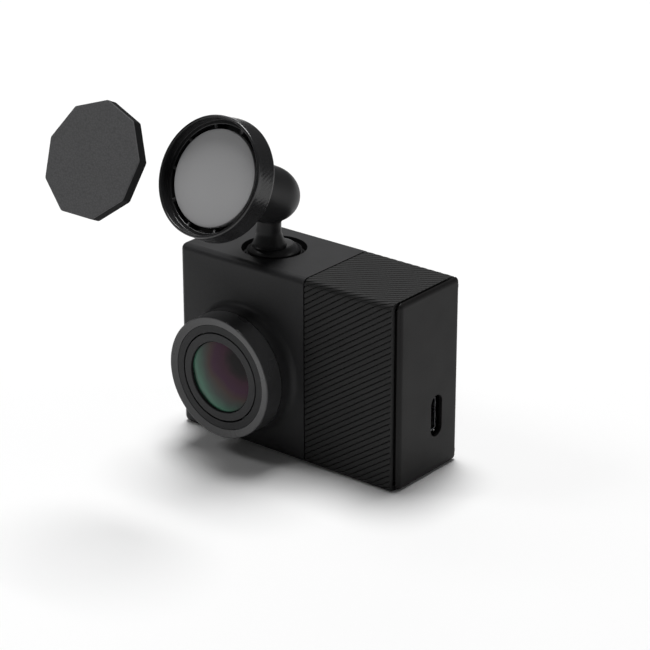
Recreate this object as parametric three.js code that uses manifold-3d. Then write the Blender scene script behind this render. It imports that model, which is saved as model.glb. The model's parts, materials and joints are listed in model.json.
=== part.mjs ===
// Compact dash camera on a magnetic ball-head windscreen mount.
// Millimetres, +Z up. The lens looks along -Y, and +X is the side with the power socket.
// The origin is the middle of the flat bottom face.
import * as THREE from 'three';
import { mergeVertices } from 'three/addons/utils/BufferGeometryUtils.js';
import Module from 'manifold-3d';

const wasm = await Module();
wasm.setup();

// ---- Housing ----
const BODY_WIDTH = 56.2;
const BODY_DEPTH = 21.2;
const BODY_HEIGHT = 40.5;
const WALL = 1.4;
const EDGE_RADIUS = 1.4;
const SMOOTH_WIDTH = 33.06; // from the plain side to the seam with the textured wrap
const CAP_THICKNESS = 0.86;
const SEAM_GAP = 0.3;
const LIP_THICKNESS = 0.8;
const LIP_REACH = 1.9;
const COVER_THICKNESS = 1.8;
const GAP = 0.3; // clearance between pieces that are fitted together

// ---- Lens ----
const LENS_INSET = 17.0; // lens axis from the plain side
const LENS_HEIGHT = 17.35;
const LENS_REACH = 8.0; // rim in front of the housing
const BARREL_MOUTH_RADIUS = 11.6;
const BARREL_MOUTH_DEPTH = 2.5;
const BARREL_WALL = 1.45;
const BARREL_RADIUS = BARREL_MOUTH_RADIUS + BARREL_WALL;
const BOSS_STEP = 0.4;
const BOSS_REACH = 3.37;
const SLEEVE_WALL = 0.8;
const SLEEVE_LENGTH = 4.6;
const FACE_RING_WIDTH = 1.9;
const FACE_RING_DROP = 0.2;
const INNER_RING_WIDTH = 2.0;
const FRONT_ELEMENT_CROWN = 1.4;
const FRONT_ELEMENT_EDGE = 0.8;
const TUBE_WALL = 1.1;
const HOLDER_SIZE = 17;
const HOLDER_DEPTH = 5;
const ELEMENT_THICKNESS = 2.2;

// ---- Display, boards and keys ----
const WINDOW_WIDTH = 41.2;
const WINDOW_HEIGHT = 31.4;
const WINDOW_MARGIN = 1.5; // cover left standing beside the window
const WINDOW_THICKNESS = 0.85;
const WINDOW_RECESS = 0.1;
const WINDOW_LEDGE = 0.8;
const PANEL_THICKNESS = 1.6;
const FRAME_THICKNESS = 0.7;
const BOARD_THICKNESS = 0.9;
const KEY_COUNT = 4;
const KEY_WIDTH = 5.0;
const KEY_HEIGHT = 5.6;
const KEY_PITCH = 8.2;
const KEY_STAND = 0.4; // how far a key stands out of the cover
const KEY_TRAVEL = 0.35;
const KEY_FLANGE = 0.8;
const SWITCH_SIZE = 3.6;
const SWITCH_THICKNESS = 0.9;
const POST_RADIUS = 1.8;
const SCREW_RADIUS = 0.7;
const SCREW_LENGTH = 6;
const SCREW_HEAD_RADIUS = 1.5;
const SCREW_HEAD_HEIGHT = 0.8;
const SHIELD_SIZE = 16;

// ---- Memory card and power socket ----
const CARD_LENGTH = 15;
const CARD_WIDTH = 11;
const CARD_THICKNESS = 0.8;
const CARD_HEIGHT = 26; // card axis above the bottom
const CARD_SOCKET_THICKNESS = 1.8;
const CARD_SOCKET_RIM = 0.9;
const PORT_HEIGHT = 12.45; // power socket above the bottom
const PORT_FROM_BACK = 7.4;
const PORT_OPENING_LENGTH = 9.1;
const PORT_OPENING_WIDTH = 3.7;
const PORT_SHELL_LENGTH = 7.4;
const PORT_SHELL_WIDTH = 2.7;
const PORT_SHELL_DEPTH = 5.2;
const PORT_SHELL_WALL = 0.35;

// ---- Battery, speaker and microphone ----
const BATTERY_WIDTH = 12.4;
const BATTERY_HEIGHT = 27.5;
const TRAY_THICKNESS = 0.7;
const SPEAKER_RADIUS = 5;
const SPEAKER_THICKNESS = 3;
const GRILLE_HOLE_RADIUS = 0.6;
const GRILLE_PITCH = 2;
const MICROPHONE_SIZE = 3.4;
const MICROPHONE_HEIGHT = 13;
const MICROPHONE_PORT_RADIUS = 0.6;

// ---- Magnetic foot ----
const RECESS_RADIUS = 6.8;
const RECESS_DEPTH = 2.6;
const FOOT_FORWARD = 0.4; // foot's axis in front of the housing's middle
const SOCKET_RIM = 0.5; // socket plate beyond the recess
const SOCKET_THICKNESS = 1.9;
const MAGNET_THICKNESS = 1.8;
const MAGNET_MARGIN = 0.76; // foot beyond the magnet under it
const FOOT_MARGIN = 1.04; // recess round the foot
const FOOT_RADIUS = RECESS_RADIUS - FOOT_MARGIN;
const FOOT_EDGE = 1.5;
const FOOT_CROWN = 1.5;
const FOOT_WALL = 0.9;
const FOOT_MAGNET_THICKNESS = 1.2;

// ---- Arm ----
const NECK_OFFSET = 1.7; // neck in front of the foot's axis
const NECK_RADIUS = 2.6;
const NECK_FLARE_RADIUS = 3.6;
const NECK_FLARE_HEIGHT = 2.6;
const HUB_DOME = 7.8;
const HUB_WALL = 1.0;
const HUB_BEHIND_NECK = 7.576; // dome tip behind the neck, along the hub's axis
const ARM_SCREW_RADIUS = 0.8;
const ARM_SCREW_LENGTH = 4;
const ARM_SCREW_HEAD_HEIGHT = 0.5;

// ---- Head ----
const HEAD_TILT = 25.6; // degrees that the head looks up
const HEAD_FROM_NECK = 20.524; // rim plane in front of the neck, along the hub's axis
const HEAD_RISE = 20.94; // rim centre above the housing
const CUP_RIM_RADIUS = 12.35;
const CUP_FLARE = 0.29; // back edge beyond the rim
const CUP_DEPTH = 5.03;
const CUP_BACK_DROP = 0.97;
const CUP_LIP = 0.6;
const CUP_FLAT_RADIUS = 7;
const TROUGH_WIDTH = 2.45; // rim to disc
const DISC_DEPTH = 2.09;
const DISC_THICKNESS = 1.2;
const TROUGH_DEPTH = 4.2;
const LEDGE_WIDTH = 0.85; // step inside the rim
const LEDGE_DEPTH = 2.35;
const RIB_COUNT = 10;
const RIB_WIDTH = 0.8;
const RIB_TOP = 2.5;
const BALL_RADIUS = 3.85;
const LINER_WALL = 0.45;
const HUB_RADIUS = BALL_RADIUS + LINER_WALL + HUB_WALL + 2 * GAP;
const BALL_FROM_RIM = 13.2;
const STEM_RADIUS = 2.0;
const STEM_FLANGE_RADIUS = 3.2;
const STEM_FLANGE = 0.9;
const MOUTH_FROM_RIM = 9.0; // front end of the hub behind the rim plane
const HEAD_SWING = 20; // degrees that the head tips any way
const SPRING_THICKNESS = 0.8;
const HEAD_SCREW_RADIUS = 0.85;
const STEM_END = 0.8; // solid end of the stem behind its screw
const HEAD_SCREW_HEAD = 1.8;

// ---- Adhesive pad ----
const PAD_SIDES = 9;
const PAD_MARGIN = 0.95; // rim beyond the pad's corners
const PAD_THICKNESS = 2.3;
const PAD_FORWARD = 34.4; // middle of the pad's front face in front of the rim plane
const PAD_DROP = 2.9; // and below the head's axis

// ---- Derived places ----
const LEFT = -BODY_WIDTH / 2;
const RIGHT = BODY_WIDTH / 2;
const FRONT = -BODY_DEPTH / 2;
const BACK = BODY_DEPTH / 2;
const SEAM_1 = LEFT + SMOOTH_WIDTH;
const SEAM_2 = RIGHT - CAP_THICKNESS;
const LENS_X = LEFT + LENS_INSET;
const COVER_INSIDE = BACK - COVER_THICKNESS;
const COVER_LEFT = LEFT + WALL + GAP;
const COVER_RIGHT = SEAM_2 - LIP_REACH - GAP;
const COVER_BOTTOM = WALL + GAP;
const COVER_TOP = BODY_HEIGHT - WALL - GAP;
const WINDOW_LEFT = COVER_LEFT + WINDOW_MARGIN;
const WINDOW_RIGHT = WINDOW_LEFT + WINDOW_WIDTH;
const WINDOW_BOTTOM = COVER_BOTTOM + WINDOW_MARGIN;
const WINDOW_TOP = WINDOW_BOTTOM + WINDOW_HEIGHT;
const PANEL_BACK = COVER_INSIDE - GAP;
const PANEL_FRONT = PANEL_BACK - PANEL_THICKNESS;
const FRAME_BACK = PANEL_FRONT - GAP;
const FRAME_FRONT = FRAME_BACK - FRAME_THICKNESS;
const CARD_SOCKET_BACK = FRAME_FRONT - GAP;
const CARD_SOCKET_FRONT = CARD_SOCKET_BACK - CARD_SOCKET_THICKNESS;
const BOARD_BACK = CARD_SOCKET_FRONT - GAP;
const BOARD_FRONT = BOARD_BACK - BOARD_THICKNESS;
const SENSOR_BOARD_BACK = BOARD_FRONT - 2 * GAP;
const SENSOR_BOARD_FRONT = SENSOR_BOARD_BACK - BOARD_THICKNESS;
const FOOT_Y = -FOOT_FORWARD;
const FOOT_BOTTOM = BODY_HEIGHT - RECESS_DEPTH + GAP;
const NECK_Y = FOOT_Y - NECK_OFFSET;
const NECK_BOTTOM = FOOT_BOTTOM + FOOT_EDGE + FOOT_CROWN + GAP;
const TILT = THREE.MathUtils.degToRad(HEAD_TILT);
const RIM_Y = NECK_Y - HEAD_FROM_NECK * Math.cos(TILT);
const RIM_Z = BODY_HEIGHT + HEAD_RISE;

// ---- Colours ----
const finishes = {
  smooth: ['#1c1d1e', 0.45, 0],
  textured: ['#202122', 0.55, 0],
  barrel: ['#2b2c2e', 0.35, 0.2],
  ring: ['#232426', 0.4, 0.1],
  glass: ['#20332f', 0.05, 0],
  screen: ['#08090a', 0.08, 0],
  key: ['#26272a', 0.5, 0],
  board: ['#123d24', 0.6, 0],
  steel: ['#b4b7ba', 0.3, 1],
  magnet: ['#8c8e92', 0.35, 1],
  rubber: ['#2b2c2d', 0.85, 0],
  disc: ['#868789', 0.6, 0],
  battery: ['#3e4a63', 0.5, 0],
  plastic: ['#161718', 0.6, 0],
};

function finish(name) {
  const [color, roughness, metalness] = finishes[name];
  return new THREE.MeshStandardMaterial({ color, roughness, metalness });
}

// ---- Geometry helpers ----
function signedVolume(geometry) {
  const points = geometry.attributes.position;
  const index = geometry.index.array;
  const [a, b, c] = [new THREE.Vector3(), new THREE.Vector3(), new THREE.Vector3()];
  let volume = 0;
  for (let i = 0; i < index.length; i += 3) {
    a.fromBufferAttribute(points, index[i]);
    b.fromBufferAttribute(points, index[i + 1]);
    c.fromBufferAttribute(points, index[i + 2]);
    volume += a.dot(b.cross(c)) / 6;
  }
  return volume;
}

// Shared corners merged, collapsed triangles dropped and faces turned outwards.
function closed(geometry) {
  const bare = geometry.clone();
  bare.deleteAttribute('normal');
  bare.deleteAttribute('uv');
  const merged = mergeVertices(bare, 1e-4);
  const kept = [];
  const index = merged.index.array;
  for (let i = 0; i < index.length; i += 3) {
    const [a, b, c] = [index[i], index[i + 1], index[i + 2]];
    if (a !== b && b !== c && c !== a) kept.push(a, b, c);
  }
  merged.setIndex(kept);
  if (signedVolume(merged) < 0) merged.setIndex(kept.reverse());
  return merged;
}

function solid(geometry) {
  const shell = closed(geometry);
  const mesh = new wasm.Mesh({
    numProp: 3,
    vertProperties: new Float32Array(shell.attributes.position.array),
    triVerts: new Uint32Array(shell.index.array),
  });
  return new wasm.Manifold(mesh);
}

function shapeOf(manifold) {
  const { vertProperties, triVerts } = manifold.getMesh();
  const geometry = new THREE.BufferGeometry();
  geometry.setAttribute('position', new THREE.BufferAttribute(new Float32Array(vertProperties), 3));
  geometry.setIndex(new THREE.BufferAttribute(new Uint32Array(triVerts), 1));
  return geometry;
}

function join(first, ...others) {
  return shapeOf(others.reduce((sum, other) => sum.add(solid(other)), solid(first)));
}

function cut(first, ...tools) {
  return shapeOf(tools.reduce((rest, tool) => rest.subtract(solid(tool)), solid(first)));
}

function overlap(first, second) {
  return shapeOf(solid(first).intersect(solid(second)));
}

function block([x0, x1], [y0, y1], [z0, z1]) {
  const box = new THREE.BoxGeometry(x1 - x0, y1 - y0, z1 - z0);
  return box.translate((x0 + x1) / 2, (y0 + y1) / 2, (z0 + z1) / 2);
}

function roundedOutline(width, height, radius) {
  const [w, h] = [width / 2 - radius, height / 2 - radius];
  const outline = new THREE.Shape();
  outline.absarc(w, h, radius, 0, Math.PI / 2);
  outline.absarc(-w, h, radius, Math.PI / 2, Math.PI);
  outline.absarc(-w, -h, radius, Math.PI, 1.5 * Math.PI);
  outline.absarc(w, -h, radius, 1.5 * Math.PI, 2 * Math.PI);
  outline.closePath();
  return outline;
}

// A plate with rounded corners, from z = 0 to its thickness.
function plate(width, height, thickness, radius) {
  const settings = { depth: thickness, bevelEnabled: false, curveSegments: 3 };
  return new THREE.ExtrudeGeometry(roundedOutline(width, height, radius), settings);
}

// A solid of revolution about Z from [radius, z] pairs.
function turned(profile, segments = 32) {
  const points = profile.map(([radius, z]) => new THREE.Vector2(radius, z));
  return new THREE.LatheGeometry(points, segments).rotateX(Math.PI / 2);
}

function rod(radius, z0, z1, segments = 20) {
  return turned([[0, z0], [radius, z0], [radius, z1], [0, z1]], segments);
}

function tube(inner, outer, z0, z1, segments = 32) {
  return turned([[inner, z0], [outer, z0], [outer, z1], [inner, z1], [inner, z0]], segments);
}

// A screw that points down Z, with the underside of its head at z = 0.
function screw(radius, length, headRadius, headHeight) {
  const profile = [[0, -length], [radius, -length], [radius, 0], [headRadius, 0]];
  return turned([...profile, [headRadius, headHeight], [0, headHeight]], 16);
}

// Turns a shape made along Z to lie along +X or +Y, and puts its start in place.
function alongX(geometry, x, y, z) {
  const cycle = new THREE.Matrix4().set(0, 0, 1, 0, 1, 0, 0, 0, 0, 1, 0, 0, 0, 0, 0, 1);
  return geometry.applyMatrix4(cycle).translate(x, y, z);
}

function alongY(geometry, x, y, z) {
  return geometry.rotateX(-Math.PI / 2).translate(x, y, z);
}

function arc(centreR, centreZ, radius, from, to, steps) {
  const points = [];
  for (let i = 0; i <= steps; i += 1) {
    const angle = from + ((to - from) * i) / steps;
    points.push([centreR + radius * Math.cos(angle), centreZ + radius * Math.sin(angle)]);
  }
  return points;
}

// ---- Scene ----
const camera = new THREE.Group();

function add(name, geometry, finishName, parent = camera) {
  const mesh = new THREE.Mesh(closed(geometry), finish(finishName));
  mesh.name = name;
  parent.add(mesh);
  return mesh;
}

function frameAt(x, y, z, turnX) {
  const group = new THREE.Group();
  group.position.set(x, y, z);
  group.rotation.x = turnX;
  camera.add(group);
  return group;
}

// ---- Housing shells ----
function housingBlank() {
  const bevel = EDGE_RADIUS - GAP;
  const [depth, height] = [BODY_DEPTH - 2 * bevel, BODY_HEIGHT - 2 * bevel];
  const blank = new THREE.ExtrudeGeometry(roundedOutline(depth, height, GAP), {
    depth: BODY_WIDTH - 2 * bevel,
    bevelThickness: bevel,
    bevelSize: bevel,
    bevelSegments: 3,
    curveSegments: 3,
  });
  blank.translate(0, 0, -BODY_WIDTH / 2 + bevel);
  return alongX(blank, 0, 0, BODY_HEIGHT / 2);
}

// The slice of the inside between two stations, this far in from the outer faces, open at the back.
function inside(x0, x1, inset) {
  return block([x0, x1], [FRONT + inset, BACK + WALL], [inset, BODY_HEIGHT - inset]);
}

function slice(x0, x1) {
  return block([x0, x1], [FRONT - WALL, BACK + WALL], [-WALL, BODY_HEIGHT + WALL]);
}

// A round-ended slot through a side wall, long along Z.
function slot(x0, x1, y, z, length, width) {
  return alongX(plate(width, length, x1 - x0, width / 2.1), x0, y, z);
}

const BOARD_INSET = WALL + LIP_THICKNESS + 2 * GAP;
const BOARD_BOTTOM = BOARD_INSET;
const BOARD_TOP = BODY_HEIGHT - BOARD_INSET;
const screwPlaces = [
  [LEFT + WALL + POST_RADIUS + GAP, BOARD_BOTTOM + POST_RADIUS],
  [LEFT + WALL + POST_RADIUS + GAP, BOARD_TOP - POST_RADIUS],
  [SEAM_1 - LIP_REACH - POST_RADIUS, BOARD_TOP - POST_RADIUS],
  [SEAM_1 - LIP_REACH - POST_RADIUS, BOARD_BOTTOM + POST_RADIUS],
];
const CARD_Y = (CARD_SOCKET_FRONT + CARD_SOCKET_BACK) / 2;
const CARD_OUTER = LEFT + 0.4;
const CARD_INNER = CARD_OUTER + CARD_LENGTH;
const MICROPHONE_Y = FOOT_Y;
const SLEEVE_RADIUS = BARREL_MOUTH_RADIUS - 0.1;
const BOSS_RADIUS = BARREL_RADIUS + BOSS_STEP;

function frontHousing() {
  const edge = SEAM_1 - SEAM_GAP / 2;
  const inset = WALL + GAP;
  let shell = overlap(housingBlank(), slice(LEFT - WALL, edge));
  shell = cut(shell, inside(LEFT + WALL, edge + WALL, WALL));
  const lipStart = edge - LIP_REACH;
  const collar = cut(inside(lipStart, edge, WALL - 0.1), inside(lipStart - 1, edge + 1, inset + LIP_THICKNESS));
  const lip = cut(inside(lipStart, edge + LIP_REACH, inset), inside(LEFT, RIGHT, inset + LIP_THICKNESS));
  const lipEnd = slice(LEFT, edge + LIP_REACH);
  const behind = block([LEFT, RIGHT], [COVER_INSIDE - GAP, BACK + 2 * WALL], [0, BODY_HEIGHT]);
  const lips = cut(overlap(join(collar, lip), lipEnd), behind);
  const boss = alongY(rod(BOSS_RADIUS, 0, BOSS_REACH + WALL / 2, 48), LENS_X, FRONT - BOSS_REACH, LENS_HEIGHT);
  const posts = screwPlaces.map(([x, z]) => {
    const length = BOARD_FRONT - GAP - FRONT - WALL / 2;
    return alongY(rod(POST_RADIUS, 0, length, 16), x, FRONT + WALL / 2, z);
  });
  const bores = screwPlaces.map(([x, z]) => {
    return alongY(rod(SCREW_RADIUS + GAP, 0, SCREW_LENGTH, 12), x, BOARD_FRONT - SCREW_LENGTH, z);
  });
  const bore = alongY(rod(SLEEVE_RADIUS + GAP, 0, 3 * BOSS_REACH, 48), LENS_X, FRONT - 2 * BOSS_REACH, LENS_HEIGHT);
  const recess = rod(RECESS_RADIUS, 0, 4 * WALL, 40).translate(LENS_X, FOOT_Y, BODY_HEIGHT - 2 * WALL);
  const cardSlot = slot(LEFT - WALL, LEFT + 2 * WALL, CARD_Y, CARD_HEIGHT, CARD_WIDTH + 4 * GAP, CARD_THICKNESS + 2 * GAP);
  const port = rod(MICROPHONE_PORT_RADIUS, 0, 4 * WALL, 12).rotateY(Math.PI / 2);
  port.translate(LEFT - WALL, MICROPHONE_Y, MICROPHONE_HEIGHT);
  return cut(join(shell, lips, boss, ...posts), bore, recess, cardSlot, port, ...bores);
}

const PORT_MOUTH = SEAM_2 - GAP;
const BATTERY_X = PORT_MOUTH - PORT_SHELL_DEPTH - 2 * GAP - BATTERY_WIDTH / 2;
const BATTERY_TOP = BODY_HEIGHT - WALL - 2 * TRAY_THICKNESS - 2 * GAP;
const BATTERY_BACK = BOARD_FRONT - 2 * GAP - TRAY_THICKNESS;
const BATTERY_FRONT = FRONT + WALL + 2 * GAP;
const SPEAKER_Y = (FRONT + WALL + BOARD_FRONT) / 2;

function texturedWrap() {
  const [x0, x1] = [SEAM_1 + SEAM_GAP / 2, SEAM_2 - SEAM_GAP / 2];
  const shell = cut(overlap(housingBlank(), slice(x0, x1)), inside(x0 - 1, x1 + 1, WALL));
  const holes = [];
  for (let i = -1; i <= 1; i += 1) {
    for (let j = -1; j <= 1; j += 1) {
      const hole = rod(GRILLE_HOLE_RADIUS, -WALL, 2 * WALL, 10);
      holes.push(hole.translate(BATTERY_X + i * GRILLE_PITCH, SPEAKER_Y + j * GRILLE_PITCH, 0));
    }
  }
  return cut(shell, ...holes);
}

function endCap() {
  const x0 = SEAM_2 + SEAM_GAP / 2;
  const inset = WALL + GAP;
  const face = overlap(housingBlank(), slice(x0, RIGHT + WALL));
  const frame = block([SEAM_2 - LIP_REACH, x0 + 0.1], [FRONT + inset, BACK], [inset, BODY_HEIGHT - inset]);
  const room = block(
    [SEAM_2 - 2 * LIP_REACH, x0],
    [FRONT + inset + LIP_THICKNESS, BACK - COVER_THICKNESS],
    [inset + LIP_THICKNESS, BODY_HEIGHT - inset - LIP_THICKNESS],
  );
  const port = slot(x0 - 1, RIGHT + 1, BACK - PORT_FROM_BACK, PORT_HEIGHT, PORT_OPENING_LENGTH, PORT_OPENING_WIDTH);
  return cut(join(face, cut(frame, room)), port);
}

const KEY_X = (WINDOW_RIGHT + COVER_RIGHT) / 2;
const keyHeights = [];
for (let i = 0; i < KEY_COUNT; i += 1) {
  keyHeights.push(BODY_HEIGHT / 2 + (i - (KEY_COUNT - 1) / 2) * KEY_PITCH);
}
const STATUS_LIGHT_RADIUS = 0.6;
const STATUS_LIGHT_Z = (WINDOW_TOP + COVER_TOP) / 2;

function rearCover() {
  const cover = block([COVER_LEFT, COVER_RIGHT], [COVER_INSIDE, BACK], [COVER_BOTTOM, COVER_TOP]);
  const seat = block(
    [WINDOW_LEFT - GAP, WINDOW_RIGHT + GAP],
    [BACK - WINDOW_RECESS - WINDOW_THICKNESS - GAP, BACK + 1],
    [WINDOW_BOTTOM - GAP, WINDOW_TOP + GAP],
  );
  const view = block(
    [WINDOW_LEFT + WINDOW_LEDGE, WINDOW_RIGHT - WINDOW_LEDGE],
    [COVER_INSIDE - 1, BACK],
    [WINDOW_BOTTOM + WINDOW_LEDGE, WINDOW_TOP - WINDOW_LEDGE],
  );
  const keyHoles = keyHeights.map((z) => {
    const hole = plate(KEY_WIDTH + 2 * GAP, KEY_HEIGHT + 2 * GAP, COVER_THICKNESS + 2, 1 + GAP);
    return alongY(hole, KEY_X, COVER_INSIDE - 1, z);
  });
  const light = alongY(rod(STATUS_LIGHT_RADIUS + GAP, 0, 2 * COVER_THICKNESS, 12), KEY_X, COVER_INSIDE - 1, STATUS_LIGHT_Z);
  return cut(cover, seat, view, light, ...keyHoles);
}

add('front_housing', frontHousing(), 'smooth');
add('textured_wrap', texturedWrap(), 'textured');
add('end_cap', endCap(), 'smooth');
add('rear_cover', rearCover(), 'plastic');

// ---- Display ----
const windowBox = [
  [WINDOW_LEFT, WINDOW_RIGHT],
  [BACK - WINDOW_RECESS - WINDOW_THICKNESS, BACK - WINDOW_RECESS],
  [WINDOW_BOTTOM, WINDOW_TOP],
];
add('display_window', block(...windowBox), 'screen');
add('display_panel', block([WINDOW_LEFT, WINDOW_RIGHT], [PANEL_FRONT, PANEL_BACK], [WINDOW_BOTTOM, WINDOW_TOP]), 'screen');
add('display_frame', block([WINDOW_LEFT, WINDOW_RIGHT], [FRAME_FRONT, FRAME_BACK], [WINDOW_BOTTOM, WINDOW_TOP]), 'steel');
const light = rod(STATUS_LIGHT_RADIUS, 0, COVER_THICKNESS, 12);
add('status_light', alongY(light, KEY_X, COVER_INSIDE, STATUS_LIGHT_Z), 'glass');

// ---- Keys and their switches ----
const FLANGE_BACK = COVER_INSIDE - GAP;
const FLANGE_FRONT = FLANGE_BACK - KEY_FLANGE;
const SWITCH_BACK = FLANGE_FRONT - GAP - KEY_TRAVEL;
const SWITCH_FRONT = SWITCH_BACK - SWITCH_THICKNESS;
const KEY_BOARD_BACK = SWITCH_FRONT - GAP;
const KEY_BOARD_FRONT = KEY_BOARD_BACK - BOARD_THICKNESS;

function keyCap() {
  const cap = plate(KEY_WIDTH, KEY_HEIGHT, BACK + KEY_STAND - FLANGE_BACK + 0.1, 1).translate(0, 0, -0.1);
  const flange = plate(KEY_WIDTH + 2 * GAP, KEY_HEIGHT + 4 * GAP, KEY_FLANGE, 1).translate(0, 0, -KEY_FLANGE);
  return join(cap, flange);
}

keyHeights.forEach((z, i) => {
  add(`key_${i + 1}`, alongY(keyCap(), KEY_X, FLANGE_BACK, z), 'key');
  const body = plate(SWITCH_SIZE, SWITCH_SIZE, 0.6 * SWITCH_THICKNESS, 0.5);
  const dome = rod(0.3 * SWITCH_SIZE, 0.5 * SWITCH_THICKNESS, SWITCH_THICKNESS, 16);
  add(`key_switch_${i + 1}`, alongY(join(body, dome), KEY_X, SWITCH_FRONT, z), 'steel');
});
const keyBoardWidth = [WINDOW_RIGHT + 2 * GAP, COVER_RIGHT - GAP];
const keyBoardHeight = [COVER_BOTTOM + GAP, COVER_TOP - GAP];
add('key_board', block(keyBoardWidth, [KEY_BOARD_FRONT, KEY_BOARD_BACK], keyBoardHeight), 'board');

// ---- Mount socket ----
const SOCKET_RADIUS = RECESS_RADIUS + SOCKET_RIM;
const SOCKET_TOP = BODY_HEIGHT - WALL - GAP;
const SOCKET_FLOOR = BODY_HEIGHT - RECESS_DEPTH;
const SOCKET_BOTTOM = SOCKET_TOP - SOCKET_THICKNESS - GAP;
const MAGNET_TOP = SOCKET_BOTTOM - GAP;
const mountSocket = turned([
  [0, SOCKET_BOTTOM], [SOCKET_RADIUS, SOCKET_BOTTOM], [SOCKET_RADIUS, SOCKET_TOP],
  [FOOT_RADIUS + 2 * GAP, SOCKET_TOP], [FOOT_RADIUS + GAP, SOCKET_FLOOR], [0, SOCKET_FLOOR],
]);
add('mount_socket', mountSocket.translate(LENS_X, FOOT_Y, 0), 'plastic');
const socketMagnet = rod(FOOT_RADIUS - MAGNET_MARGIN, MAGNET_TOP - MAGNET_THICKNESS, MAGNET_TOP, 32);
add('socket_magnet', socketMagnet.translate(LENS_X, FOOT_Y, 0), 'magnet');

// ---- Boards ----
const PORT_Y = BACK - PORT_FROM_BACK;

function mainBoard() {
  const board = block([LEFT + WALL + GAP, COVER_RIGHT], [BOARD_FRONT, BOARD_BACK], [BOARD_BOTTOM, BOARD_TOP]);
  const mountNotch = block(
    [LENS_X - SOCKET_RADIUS - 2 * GAP, LENS_X + SOCKET_RADIUS + 2 * GAP],
    [BOARD_FRONT - 1, BOARD_BACK + 1],
    [MAGNET_TOP - MAGNET_THICKNESS - GAP, BODY_HEIGHT],
  );
  const portHalf = PORT_SHELL_LENGTH / 2 + GAP;
  const portNotch = block(
    [PORT_MOUTH - PORT_SHELL_DEPTH - GAP, RIGHT],
    [BOARD_FRONT - 1, BOARD_BACK + 1],
    [PORT_HEIGHT - portHalf, PORT_HEIGHT + portHalf],
  );
  const holes = screwPlaces.map(([x, z]) => {
    return alongY(rod(SCREW_RADIUS + GAP, 0, 3 * BOARD_THICKNESS, 12), x, BOARD_FRONT - BOARD_THICKNESS, z);
  });
  return cut(board, mountNotch, portNotch, ...holes);
}

add('main_board', mainBoard(), 'board');
screwPlaces.forEach(([x, z], i) => {
  const boardScrew = screw(SCREW_RADIUS, SCREW_LENGTH, SCREW_HEAD_RADIUS, SCREW_HEAD_HEIGHT);
  add(`board_screw_${i + 1}`, alongY(boardScrew, x, BOARD_BACK + GAP, z), 'steel');
});
const shieldX = [SEAM_1 - SHIELD_SIZE / 2, SEAM_1 + SHIELD_SIZE / 2];
const shieldY = [BOARD_BACK + GAP, CARD_SOCKET_BACK];
const shieldZ = [BODY_HEIGHT / 2 - SHIELD_SIZE / 2, BODY_HEIGHT / 2 + SHIELD_SIZE / 2];
add('board_shield', block(shieldX, shieldY, shieldZ), 'steel');

// ---- Lens, in a frame at the middle of the barrel with +Z out of the housing ----
const lens = frameAt(LENS_X, FRONT, LENS_HEIGHT, Math.PI / 2);
const LEDGE_FRONT = LENS_REACH - BARREL_MOUTH_DEPTH;
const LEDGE_BACK = LEDGE_FRONT - 1.2;
const FACE_RING_INNER_RADIUS = BARREL_MOUTH_RADIUS - FACE_RING_WIDTH;
const INNER_RING_INNER_RADIUS = FACE_RING_INNER_RADIUS - INNER_RING_WIDTH;
const FRONT_ELEMENT_RADIUS = INNER_RING_INNER_RADIUS - GAP;
const TUBE_RADIUS = FRONT_ELEMENT_RADIUS - 0.7;
const ELEMENT_RADIUS = TUBE_RADIUS - TUBE_WALL - GAP;
const SENSOR_FRONT = FRONT - SENSOR_BOARD_FRONT + 3 * GAP;
const HOLDER_BACK = FRONT - SENSOR_BOARD_FRONT + GAP;
const HOLDER_FRONT = HOLDER_BACK + HOLDER_DEPTH;
const FILTER_BACK = SENSOR_FRONT + GAP;
const FILTER_THICKNESS = 0.4;
const TUBE_BACK = FILTER_BACK + FILTER_THICKNESS + 2 * GAP;

const barrelProfile = [
  [SLEEVE_RADIUS, BOSS_REACH + GAP],
  [BARREL_RADIUS, BOSS_REACH + GAP],
  [BARREL_RADIUS, LENS_REACH - 0.5],
  [BARREL_RADIUS - 0.35, LENS_REACH - 0.12],
  [BARREL_RADIUS - 0.8, LENS_REACH],
  [BARREL_MOUTH_RADIUS + 0.2, LENS_REACH],
  [BARREL_MOUTH_RADIUS, LENS_REACH - FACE_RING_DROP],
  [BARREL_MOUTH_RADIUS, LEDGE_FRONT],
  [TUBE_RADIUS + GAP, LEDGE_FRONT],
  [TUBE_RADIUS + GAP, LEDGE_BACK],
  [SLEEVE_RADIUS - SLEEVE_WALL, LEDGE_BACK],
  [SLEEVE_RADIUS - SLEEVE_WALL, BOSS_REACH + GAP - SLEEVE_LENGTH],
  [SLEEVE_RADIUS, BOSS_REACH + GAP - SLEEVE_LENGTH],
  [SLEEVE_RADIUS, BOSS_REACH + GAP],
];
add('lens_barrel', turned(barrelProfile, 56), 'barrel', lens);
const RING_BACK = LEDGE_FRONT + GAP;
const FACE = LENS_REACH - FACE_RING_DROP;
add('lens_face_ring', tube(FACE_RING_INNER_RADIUS, BARREL_MOUTH_RADIUS - GAP, RING_BACK, FACE, 48), 'ring', lens);
const innerRing = tube(INNER_RING_INNER_RADIUS, FACE_RING_INNER_RADIUS - GAP, RING_BACK, FACE - 0.1, 48);
add('lens_inner_ring', innerRing, 'ring', lens);

// A lens element: a flat back, a cylindrical edge and a spherical crown.
function element(radius, back, edge, crown, segments = 36) {
  const sphere = (radius * radius + crown * crown) / (2 * crown);
  const lowest = Math.asin((sphere - crown) / sphere);
  const dome = arc(0, back + edge + crown - sphere, sphere, lowest, Math.PI / 2, 4);
  dome[dome.length - 1][0] = 0;
  return turned([[0, back], [radius, back], ...dome], segments);
}

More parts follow.
